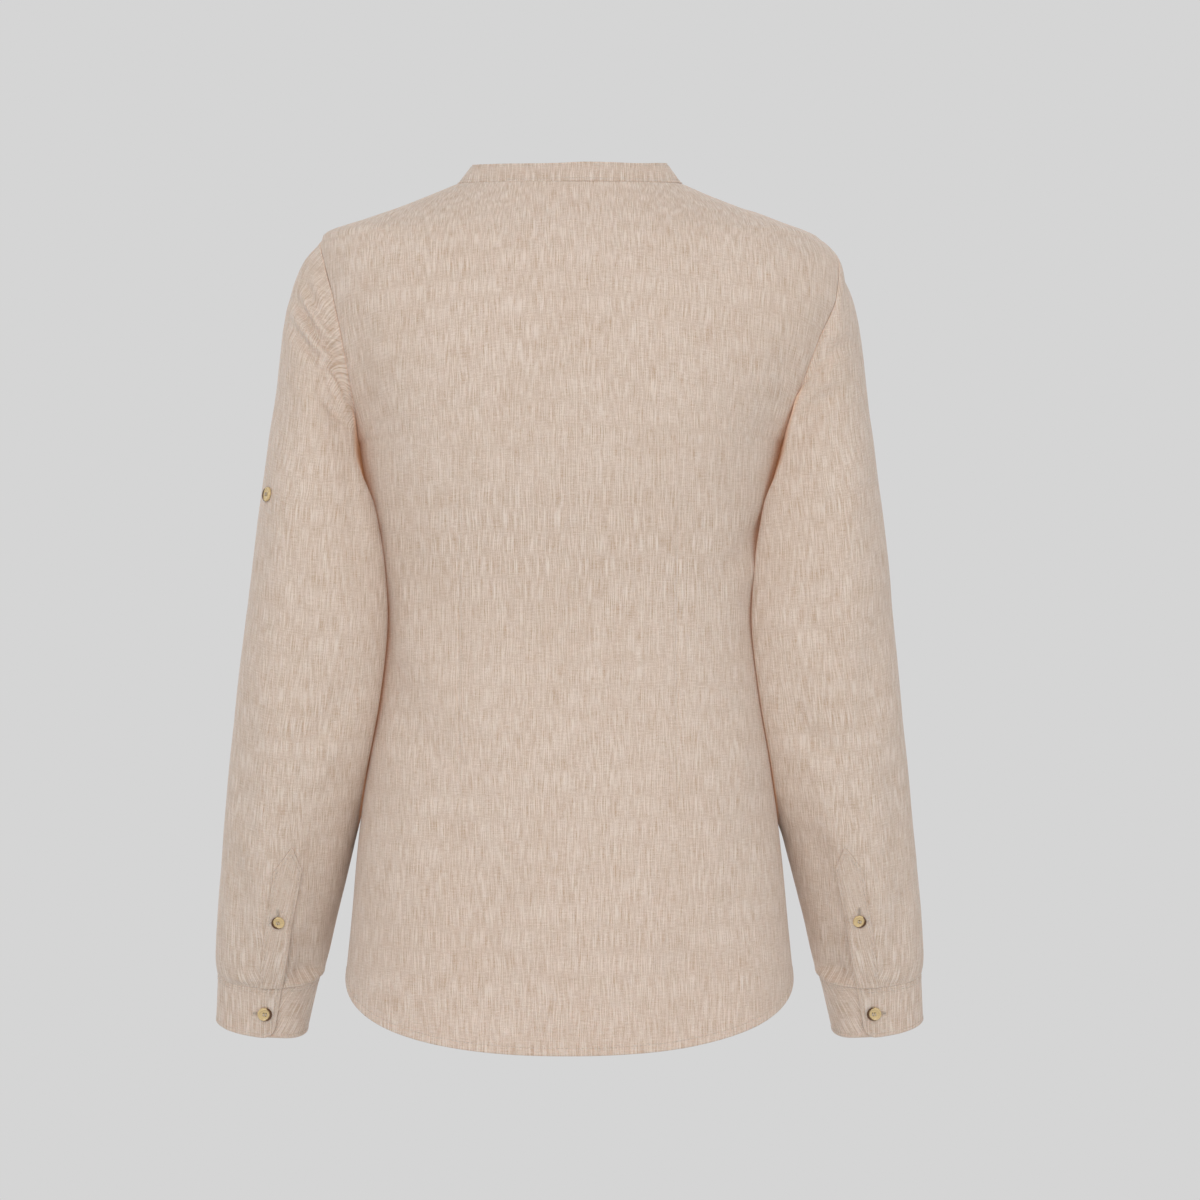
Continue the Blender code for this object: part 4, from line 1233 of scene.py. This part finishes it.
def linen_material(settings):
    """Linen in the weave's colours, rough and with a little light inside it, and with a painted
    warm glow, an emission, where a sleeve lies against the body.
    """
    material, tree, shader = new_material("slub_linen")
    weave = add_node(tree, "ShaderNodeGroup", node_tree=weave_group(settings))
    for socket, colour in (("Light", settings.linen_light), ("Middle", settings.linen_middle),
                           ("Dark", settings.linen_dark)):
        weave.inputs[socket].default_value = [*colour, 1.0]
    tree.links.new(weave.outputs["Color"], shader.inputs["Base Color"])
    tree.links.new(weave.outputs["Normal"], shader.inputs["Normal"])
    shader.inputs["Roughness"].default_value = 0.88
    shader.inputs["Specular IOR Level"].default_value = 0.2
    shader.inputs["Sheen Weight"].default_value = 0.12
    shader.inputs["Sheen Roughness"].default_value = 0.6
    shader.inputs["Subsurface Weight"].default_value = 0.15
    shader.inputs["Subsurface Radius"].default_value = (1.0, 0.55, 0.35)
    shader.inputs["Subsurface Scale"].default_value = 4 * MM
    # Painted light: the glow is emitted, in place of light coming through the thin cloth.
    tree.links.new(weave.outputs["Glow"], shader.inputs["Emission Color"])
    shader.inputs["Emission Strength"].default_value = 1.0
    return material


def thread_material(settings):
    """Sewing thread: a little lighter and warmer than the cloth, uneven along its length."""
    material, tree, shader = new_material("sewing_thread")
    place = add_node(tree, "ShaderNodeTexCoord").outputs["Object"]
    noise = streaks(tree, place, 900, 900, 1.0)
    light = list(settings.thread_colour) + [1.0]
    dark = [0.72 * c for c in settings.thread_colour] + [1.0]
    colour = blend_colours(tree, remap(tree, noise, 0.35, 0.65), dark, light)
    tree.links.new(colour, shader.inputs["Base Color"])
    shader.inputs["Roughness"].default_value = 0.7
    return material


# Painted shade in the buttons' holes, which are only shallow dimples.
HOLE_SHADE_COLOUR = (0.03, 0.018, 0.01, 1.0)


def horn_material(settings):
    """Horn button: cream with a brown crescent on one side of its rim, partly the horn's own
    dark rim and partly painted shadow, and painted shade in its holes.
    """
    material, tree, shader = new_material("horn_button")
    uv = add_node(tree, "ShaderNodeUVMap", uv_map="cloth").outputs[0]
    parts = add_node(tree, "ShaderNodeSeparateXYZ")
    tree.links.new(uv, parts.inputs[0])
    x, y = parts.outputs[0], parts.outputs[1]
    from_side = calculate(tree, "SUBTRACT", x, -CRESCENT_OFFSET)
    distance = flat_distance(tree, from_side, y)
    grain = streaks(tree, uv, 3.0, 9.0, 3.0)
    wobble = calculate(tree, "MULTIPLY", calculate(tree, "SUBTRACT", grain, 0.5), 0.35)
    # The dark crescent: the horn's own dark rim and painted shadow in one.
    edge = remap(tree, calculate(tree, "ADD", distance, wobble), 0.90, 1.0)
    cream = list(settings.horn_light) + [1.0]
    brown = list(settings.horn_rim_and_shade) + [1.0]
    tan = [(a + b) / 2 for a, b in zip(cream, brown)]
    cloud = calculate(tree, "MULTIPLY", remap(tree, grain, 0.42, 0.7), 0.45)
    colour = blend_colours(tree, cloud, cream, tan)
    colour = blend_colours(tree, edge, colour, brown)
    # Painted shade, near black, in the four holes.
    from_hole = flat_distance(tree, *(
        calculate(tree, "SUBTRACT", calculate(tree, "ABSOLUTE", value), HOLE_AT)
        for value in (x, y)))
    hole = remap(tree, from_hole, HOLE_RADIUS, 0.7 * HOLE_RADIUS)
    colour = blend_colours(tree, hole, colour, HOLE_SHADE_COLOUR)
    tree.links.new(colour, shader.inputs["Base Color"])
    shader.inputs["Roughness"].default_value = 0.32
    return material


def material_named(name, make, *given):
    """The material of that name, made on its first use."""
    return bpy.data.materials.get(name) or make(*given)


def linen(settings):
    return material_named("slub_linen", linen_material, settings)


def thread(settings):
    return material_named("sewing_thread", thread_material, settings)


# ---- Pieces ----------------------------------------------------------------------------

def spread(first, last, count, dense=(), reach=0.0, extra=0):
    """Even values from first to last, with extra ones within reach of the dense places."""
    values = [np.linspace(first, last, count)]
    for place in dense:
        values.append(np.linspace(place - reach, place + reach, extra))
    joined = np.sort(np.clip(np.concatenate(values), first, last))
    apart = np.concatenate([[True], np.diff(joined) > reach * 0.05 + 1e-9])
    return joined[apart]


def panel_rows(panel, count):
    """Stations of a body panel's rows, closer together at the hem and the neck."""
    even = body_stations(panel, count)
    hem = np.interp(HEM_ROWS, [0, HEM_ROW_PITCH], [0, 1])
    return np.sort(np.concatenate([even, hem, NECK - NECK_ROWS]))[:, None]


def make_back(settings):
    """The back: one panel from side seam to side seam, with its two waist darts."""
    station = panel_rows("back", BACK_ROWS)
    middle = np.clip(station, 0, DART_STATION)
    dart = panel_across("back", DART_X * np.ones_like(middle), middle)
    half = spread(0, 1, 44, (1.0,), 0.02, 5)[None, :]
    inner = dart * half
    outer = dart + (1 - dart) * spread(0, 1, 50, (0.0, 1.0), 0.02, 7)[None, :]
    right = np.concatenate([inner, outer[:, 1:]], axis=1)
    across = np.concatenate([-right[:, ::-1], right[:, 1:]], axis=1)
    points, _ = body_cloth("back", "", across, station)
    centre = right.shape[1] - 1
    obj = cloth_object("linen_back", "back", points, body_uv(points, centre), True, settings)
    lines = [hem_line("back", "", -0.995, 0.995, HEM_WIDTH - STITCH_INSET)]
    sewn = sew("stitches_back", lines, thread(settings))


def front_edge_line(side, inset):
    """Stitches down a front, a set distance in from its free edge."""
    station = np.linspace(0.12, NECK - 0.05, 900)
    across = front_across(OUTWARD[side] * (inset - FRONT_LAP) * np.ones_like(station),
                          station)
    return line_on(body_cloth, "front", side, across, station)


def make_front(side, settings):
    """A front, from its side seam to its folded edge beyond the centre line."""
    station = panel_rows("front", FRONT_ROWS)
    sign = OUTWARD[side]
    lap = front_across(-sign * FRONT_LAP * np.ones_like(station), station)
    part = spread(0, 1, 80, (0.0, FACING / 0.2, 1.0), 0.015, 7)[None, :]
    across = lap + (sign - lap) * part
    points, _ = body_cloth("front", side, across, station)
    obj = cloth_object("linen_front_" + side, "front_" + side, points, body_uv(points, 0),
                       side == "right", settings)
    lines = [front_edge_line(side, 3.0 * MM), front_edge_line(side, FACING),
             hem_line("front", side, sign * 0.995, front_across(
                 np.array([-sign * 10 * MM]), np.array([0.2]))[0], HEM_WIDTH - STITCH_INSET)]
    pieces = [sew("stitches_front_" + side, lines, thread(settings))]
    if side == "right":
        pieces.append(front_buttonholes(settings))


def front_button_place(index):
    """Point and outward normal where a front button lies, on the centre line."""
    height = FRONT_BUTTON_TOP - index * FRONT_BUTTON_PITCH
    station = np.linspace(0, NECK, 800)
    points, normals = body_cloth("front", "right", np.zeros_like(station), station)
    return (along_line(points, points[:, 2], height),
            unit(along_line(normals, points[:, 2], height)))


def front_buttonholes(settings):
    """Upright worked buttonholes behind the front buttons."""
    places = []
    for index in range(FRONT_BUTTONS):
        place, normal = front_button_place(index)
        along = np.cross(normal, np.cross(UP, normal))
        places.append(buttonhole_places(place + along * 4 * MM, along, normal, 14 * MM))
    return buttonholes("buttonholes_front", places, BUTTONHOLE_BAR, settings)


def make_collar(settings):
    """The standing collar band."""
    part = spread(0, 1, 330, (0.0, 1.0), 0.016, 16)[None, :]
    points, _ = collar_cloth(part, COLLAR_HEIGHTS[:, None])
    obj = cloth_object("linen_collar", "collar", points,
                       body_uv(points, points.shape[1] // 2), False, settings)
    even = np.linspace(0.004, 0.996, 1400)
    lines = [line_on(collar_cloth, even, np.full_like(even, seam)) for seam in (0.14, 0.88)]
    sewn = sew("stitches_collar", lines, thread(settings), 2.6 * MM, 2.0 * MM)


PAINTED_GLOW_REACH = 2.5 * MM    # how near the body a sleeve gets its painted warm glow
PAINTED_GLOW_START = 0.3         # station where that begins
SEAM_GLOW = 1.6 * MM        # how far from the armhole's seam it does the same
SEAM_SHARE = 0.7            # and how much of that painted glow there is at the seam


def painted_glow_of(side, angle, station, points):
    """How much painted warm glow a sleeve's points get where two layers lie together."""
    wall = body_side(side, points[..., 1], points[..., 2])
    painted_glow_mask = smoothstep(1 - (np.abs(points[..., 0]) - wall) / PAINTED_GLOW_REACH)
    painted_glow_mask = painted_glow_mask * smoothstep(-np.cos(angle) / 0.4) * (station > PAINTED_GLOW_START)
    from_seam = np.linalg.norm(points - points[:1], axis=-1)
    return np.maximum(painted_glow_mask, SEAM_SHARE * smoothstep(1 - from_seam / SEAM_GLOW))


def make_sleeve(side, settings):
    """A sleeve, from its armhole to the cuff's seam."""
    even = sleeve_stations(0, CUFF_SEAM, SLEEVE_RINGS)
    station = np.sort(np.concatenate([even, SLEEVE_FIRST_RINGS,
                                      CUFF_SEAM - SLEEVE_LAST_RINGS]))[:, None]
    angle = np.linspace(math.pi, 3 * math.pi, SLEEVE_COLUMNS, endpoint=False)[None, :]
    points, _ = sleeve_cloth(side, angle, station)
    obj = cloth_object("linen_sleeve_" + side, "sleeve_" + side, points,
                       sleeve_uv(sleeve_point(side, angle, station)), side == "left",
                       settings, closed=True)
    # Where the sleeve gets its painted warm glow, kept on its points.
    layer = obj.data.attributes.new("painted_glow_mask", "FLOAT", "POINT")
    layer.data.foreach_set("value", painted_glow_of(side, angle, station, points).ravel())


def make_cuff(side, settings):
    """A cuff, round the wrist once and on below its own free edge."""
    turned = np.concatenate([np.linspace(0, 16, 26), np.linspace(16, 360 + CUFF_LAP, 190)[1:]])
    turned = turned[None, :]
    points, _ = cuff_cloth(side, turned, CUFF_HEIGHTS[:, None])
    obj = cloth_object("linen_cuff_" + side, "cuff_" + side, points, ring_uv(points),
                       side == "right", settings)
    even = np.linspace(1.5, 348, 700)
    inset = 3.0 * MM / CUFF_DEPTH
    edge_height = np.linspace(0.05, 0.93, 60)
    lines = [line_on(cuff_cloth, side, even, np.full_like(even, 0.075)),
             line_on(cuff_cloth, side, even, np.full_like(even, 0.14)),
             line_on(cuff_cloth, side, even[8:], np.full_like(even[8:], 1 - inset)),
             line_on(cuff_cloth, side, np.full_like(edge_height, 4.5), edge_height)]
    sewn = sew("stitches_cuff_" + side, lines, thread(settings))
    place, normal = cuff_button_place(side)
    round_cuff = np.cross(normal, UP)
    places = [buttonhole_places(place + round_cuff * HOLE_SHIFT[side], round_cuff, normal,
                                13 * MM)]
    hole = buttonholes("buttonhole_cuff_" + side, places, BUTTONHOLE_BAR, settings)


def cuff_button_place(side):
    """Point and normal where the cuff button lies."""
    turned = np.array(OPENING_ANGLE - CUFF_BUTTON[0], float)
    height = np.array(CUFF_BUTTON[1] - CUFF_SEAM)
    return cuff_cloth(side, turned, height)


def placket_button_place(side):
    """Point and normal where the placket's button lies."""
    part = (OPENING_ANGLE - PLACKET_BUTTON[0]) / PLACKET_WIDTH
    down = (PLACKET_BUTTON[1] - PLACKET_SHOULDER) / (CUFF_SEAM - PLACKET_SHOULDER)
    return placket_cloth(side, np.array(part), np.array(down))


def make_placket(side, settings):
    """The pointed strip over the sleeve's opening."""
    part = spread(0, 1, 22, (0.0, 0.5, 1.0), 0.04, 4)[None, :]
    down = spread(0, 1, 64, (0.0, 1.0), 0.012, 4)[:, None]
    points, _ = placket_cloth(side, part, down)
    obj = cloth_object("linen_placket_" + side, "sleeve_placket_" + side, points,
                       ring_uv(points), side == "right", settings)
    run = np.linspace(0.02, 0.97, 160)
    lines = [line_on(placket_cloth, side, np.full_like(run, seam), run)
             for seam in PLACKET_SEAMS]
    turn = np.linspace(*PLACKET_SEAMS, 40)
    lines += [line_on(placket_cloth, side, turn, np.full_like(turn, down_at))
              for down_at in (0.03, TOWER_FOOT)]
    sewn = sew("stitches_placket_" + side, lines, thread(settings))
    place, normal = placket_button_place(side)
    upright = unit(np.cross(normal, np.cross(UP, normal)))
    places = [buttonhole_places(place + upright * 5 * MM, upright, normal, 12 * MM)]
    hole = buttonholes("buttonhole_placket_" + side, places, PLACKET_HOLE_BAR, settings)


def make_buttons(settings):
    """All the buttons, each at its place on the finished cloth."""
    horn = material_named("horn_button", horn_material, settings)
    sewing = thread(settings)
    for index in range(FRONT_BUTTONS):
        place, normal = front_button_place(index)
        name = "front_%d" % (index + 1)
        button_object("horn_" + name, "button_" + name, BUTTON_RADIUS,
                      place + normal * BUTTON_SEAT, normal, CRESCENT_TURN * index, horn, sewing)
    for side in ("left", "right"):
        degrees, station = TAB_BUTTON[side]
        tab = sleeve_cloth(side, np.array(math.radians(degrees)), np.array(float(station)))
        spots = (("cuff", cuff_button_place(side), BUTTON_RADIUS),
                 ("placket", placket_button_place(side), SMALL_BUTTON_RADIUS),
                 ("tab", tab, BUTTON_RADIUS))
        for kind, (place, normal), radius in spots:
            name = "%s_%s" % (kind, side)
            button_object("horn_" + name, "button_" + name, radius,
                          place + normal * BUTTON_SEAT, normal,
                          math.radians(CRESCENT[name]), horn, sewing)


# ---- Stage -----------------------------------------------------------------------------

FLOOR_RADIUS = 3.5
LOOK_AT = (-0.02, 0.0, -0.32)       # the middle of the shirt
CAMERA_PLACE = (-0.024, 3.0, -0.325)
SENSOR_WIDTH = 36.0
StageLight = namedtuple("StageLight", "name place size share")
# Round lights: their diameter, and their share of the light's power.
STAGE_LIGHTS = (
    StageLight("key", (0.6, 3.75, 0.75), 1.6, 1.5),
    StageLight("fill", (-2.2, 2.4, -0.6), 2.4, 0.28),
    StageLight("front_key", (-1.2, -2.9, 1.5), 2.4, 0.8),
    StageLight("front_fill", (2.0, -2.6, 0.3), 2.4, 0.45),
)


def stage_disc(name, radius, z):
    """Pale round floor: rings of points at growing radii."""
    r = np.linspace(0.02, 1, 24)[:, None] * radius
    turn = np.linspace(0, 2 * math.pi, 96, endpoint=False)[None, :]
    points = np.stack([r * np.cos(turn), r * np.sin(turn), z + 0 * r * turn], axis=-1)
    uv = np.concatenate([points[..., :2], points[:, :1, :2]], axis=1)
    obj = bpy.data.objects.new(name, cloth_mesh(name, points, uv, True, closed=True))
    bpy.context.scene.collection.objects.link(obj)
    return obj


def floor_material(settings):
    """Pale matt floor with faint clouds."""
    material, tree, shader = new_material("pale_floor")
    place = add_node(tree, "ShaderNodeTexCoord").outputs["Object"]
    noise = streaks(tree, place, 1.5, 1.5, 3.0)
    light = list(settings.floor_colour) + [1.0]
    dark = [0.96 * c for c in settings.floor_colour] + [1.0]
    tree.links.new(blend_colours(tree, noise, dark, light), shader.inputs["Base Color"])
    shader.inputs["Roughness"].default_value = 0.9
    return material


def aimed_light(given, power):
    """A round light that faces the middle of the shirt."""
    light = bpy.data.lights.new(given.name, "AREA")
    light.shape = "DISK"
    light.size = given.size
    light.energy = given.share * power
    obj = bpy.data.objects.new(given.name, light)
    obj.location = given.place
    direction = Vector(LOOK_AT) - Vector(given.place)
    obj.rotation_euler = direction.to_track_quat("-Z", "Y").to_euler()
    bpy.context.scene.collection.objects.link(obj)


def make_stage(settings):
    """Floor, soft lights, grey surroundings and the camera behind the shirt."""
    scene = bpy.context.scene
    floor = stage_disc("floor", FLOOR_RADIUS, settings.floor_height)
    floor.data.materials.append(floor_material(settings))
    world = bpy.data.worlds.new("studio")
    scene.world = world
    world.use_nodes = True
    background = world.node_tree.nodes["Background"]
    background.inputs["Color"].default_value = list(settings.surroundings) + [1.0]
    background.inputs["Strength"].default_value = 1.0
    for light in STAGE_LIGHTS:
        aimed_light(light, settings.light_power)
    camera = bpy.data.cameras.new("camera")
    camera.lens = settings.lens
    camera.sensor_width = SENSOR_WIDTH
    obj = bpy.data.objects.new("camera", camera)
    obj.location = CAMERA_PLACE
    obj.rotation_euler = (math.radians(90), 0.0, math.radians(180))
    scene.collection.objects.link(obj)
    scene.camera = obj
    scene.view_settings.view_transform = "Standard"


# ---- Settings, operators and panel -----------------------------------------------------

def colour_setting(name, description, default):
    return FloatVectorProperty(name=name, description=description, subtype="COLOR", size=3,
                               min=0.0, max=1.0, default=default)


class ShirtSettings(PropertyGroup):
    """Sizes and colours of the shirt and its stage."""
    cloth: FloatProperty(name="Cloth", description="Thickness of one layer of cloth",
                         default=0.0012, min=0.0005, max=0.003, unit="LENGTH")
    linen_light: colour_setting("Light Yarn", "Lightest yarns of the linen",
                                (0.755, 0.645, 0.565))
    linen_middle: colour_setting("Linen", "Mean colour of the linen", (0.61, 0.49, 0.407))
    linen_dark: colour_setting("Dark Yarn", "Darkest yarns of the linen",
                               (0.48, 0.345, 0.247))
    thread_colour: colour_setting("Thread", "Sewing thread", (0.66, 0.56, 0.47))
    horn_light: colour_setting("Horn", "Pale part of the buttons", (0.70, 0.53, 0.27))
    # Dark rim of the buttons, which is also their painted shadow on one side.
    horn_rim_and_shade: colour_setting("Dark Horn", "Dark rim of the buttons", (0.10, 0.042, 0.012))
    slub_strength: FloatProperty(name="Slubs", description="Contrast of the uneven yarns",
                                 default=1.0, min=0.1, max=3.0, subtype="FACTOR")
    weave_depth: FloatProperty(name="Weave", description="How far the yarns stand out",
                               default=0.5, min=0.0, max=1.0, subtype="FACTOR")
    floor_height: FloatProperty(name="Floor", description="Height of the floor",
                                default=-1.42, unit="LENGTH")
    floor_colour: colour_setting("Floor", "Colour of the floor", (0.72, 0.72, 0.72))
    surroundings: colour_setting("Surroundings", "Colour all round the stage",
                                 (0.665, 0.665, 0.665))
    light_power: FloatProperty(name="Light", description="Power of the main light, in watts",
                               default=31.0, min=0.0, max=500.0)
    lens: FloatProperty(name="Lens", description="Focal length of the camera",
                        default=115.4, min=10.0, max=300.0, unit="CAMERA")


class SHIRT_OT_back(Operator):
    """Builds the back panel with its darts, hem and stitches"""
    bl_idname = "shirt.back"
    bl_label = "Back"
    bl_options = {"REGISTER", "UNDO"}

    def execute(self, context):
        make_back(context.scene.shirt)
        return {"FINISHED"}


class SHIRT_OT_fronts(Operator):
    """Builds the two fronts with their folded edges and buttonholes"""
    bl_idname = "shirt.fronts"
    bl_label = "Fronts"
    bl_options = {"REGISTER", "UNDO"}

    def execute(self, context):
        for side in ("left", "right"):
            make_front(side, context.scene.shirt)
        return {"FINISHED"}


class SHIRT_OT_collar(Operator):
    """Builds the standing collar band"""
    bl_idname = "shirt.collar"
    bl_label = "Collar"
    bl_options = {"REGISTER", "UNDO"}

    def execute(self, context):
        make_collar(context.scene.shirt)
        return {"FINISHED"}


class SHIRT_OT_sleeves(Operator):
    """Builds the two sleeves with their folds"""
    bl_idname = "shirt.sleeves"
    bl_label = "Sleeves"
    bl_options = {"REGISTER", "UNDO"}

    def execute(self, context):
        for side in ("left", "right"):
            make_sleeve(side, context.scene.shirt)
        return {"FINISHED"}


class SHIRT_OT_cuffs(Operator):
    """Builds the two cuffs and the plackets above them"""
    bl_idname = "shirt.cuffs"
    bl_label = "Cuffs and Plackets"
    bl_options = {"REGISTER", "UNDO"}

    def execute(self, context):
        for side in ("left", "right"):
            make_cuff(side, context.scene.shirt)
            make_placket(side, context.scene.shirt)
        return {"FINISHED"}


class SHIRT_OT_buttons(Operator):
    """Builds the horn buttons and the threads that hold them"""
    bl_idname = "shirt.buttons"
    bl_label = "Buttons"
    bl_options = {"REGISTER", "UNDO"}

    def execute(self, context):
        make_buttons(context.scene.shirt)
        return {"FINISHED"}


class SHIRT_OT_stage(Operator):
    """Sets up the floor, the lights and the camera"""
    bl_idname = "shirt.stage"
    bl_label = "Stage"
    bl_options = {"REGISTER", "UNDO"}

    def execute(self, context):
        make_stage(context.scene.shirt)
        return {"FINISHED"}


OPERATORS = (SHIRT_OT_back, SHIRT_OT_fronts, SHIRT_OT_collar, SHIRT_OT_sleeves,
             SHIRT_OT_cuffs, SHIRT_OT_buttons, SHIRT_OT_stage)


class SHIRT_PT_panel(Panel):
    """Lists the shirt's settings and the pieces to build"""
    bl_idname = "SHIRT_PT_panel"
    bl_label = "Shirt"
    bl_space_type = "VIEW_3D"
    bl_region_type = "UI"
    bl_category = "Shirt"

    def draw(self, context):
        column_of_settings = self.layout.column()
        for name in ShirtSettings.__annotations__:
            column_of_settings.prop(context.scene.shirt, name)
        for operator in OPERATORS:
            self.layout.operator(operator.bl_idname)


CLASSES = (ShirtSettings,) + OPERATORS + (SHIRT_PT_panel,)


def register():
    for cls in CLASSES:
        bpy.utils.register_class(cls)
    bpy.types.Scene.shirt = PointerProperty(type=ShirtSettings)


def unregister():
    del bpy.types.Scene.shirt
    for cls in reversed(CLASSES):
        bpy.utils.unregister_class(cls)


def main():
    register()
    bpy.ops.shirt.back()
    bpy.ops.shirt.fronts()
    bpy.ops.shirt.collar()
    bpy.ops.shirt.sleeves()
    bpy.ops.shirt.cuffs()
    bpy.ops.shirt.buttons()
    bpy.ops.shirt.stage()


if __name__ == "__main__":
    main()
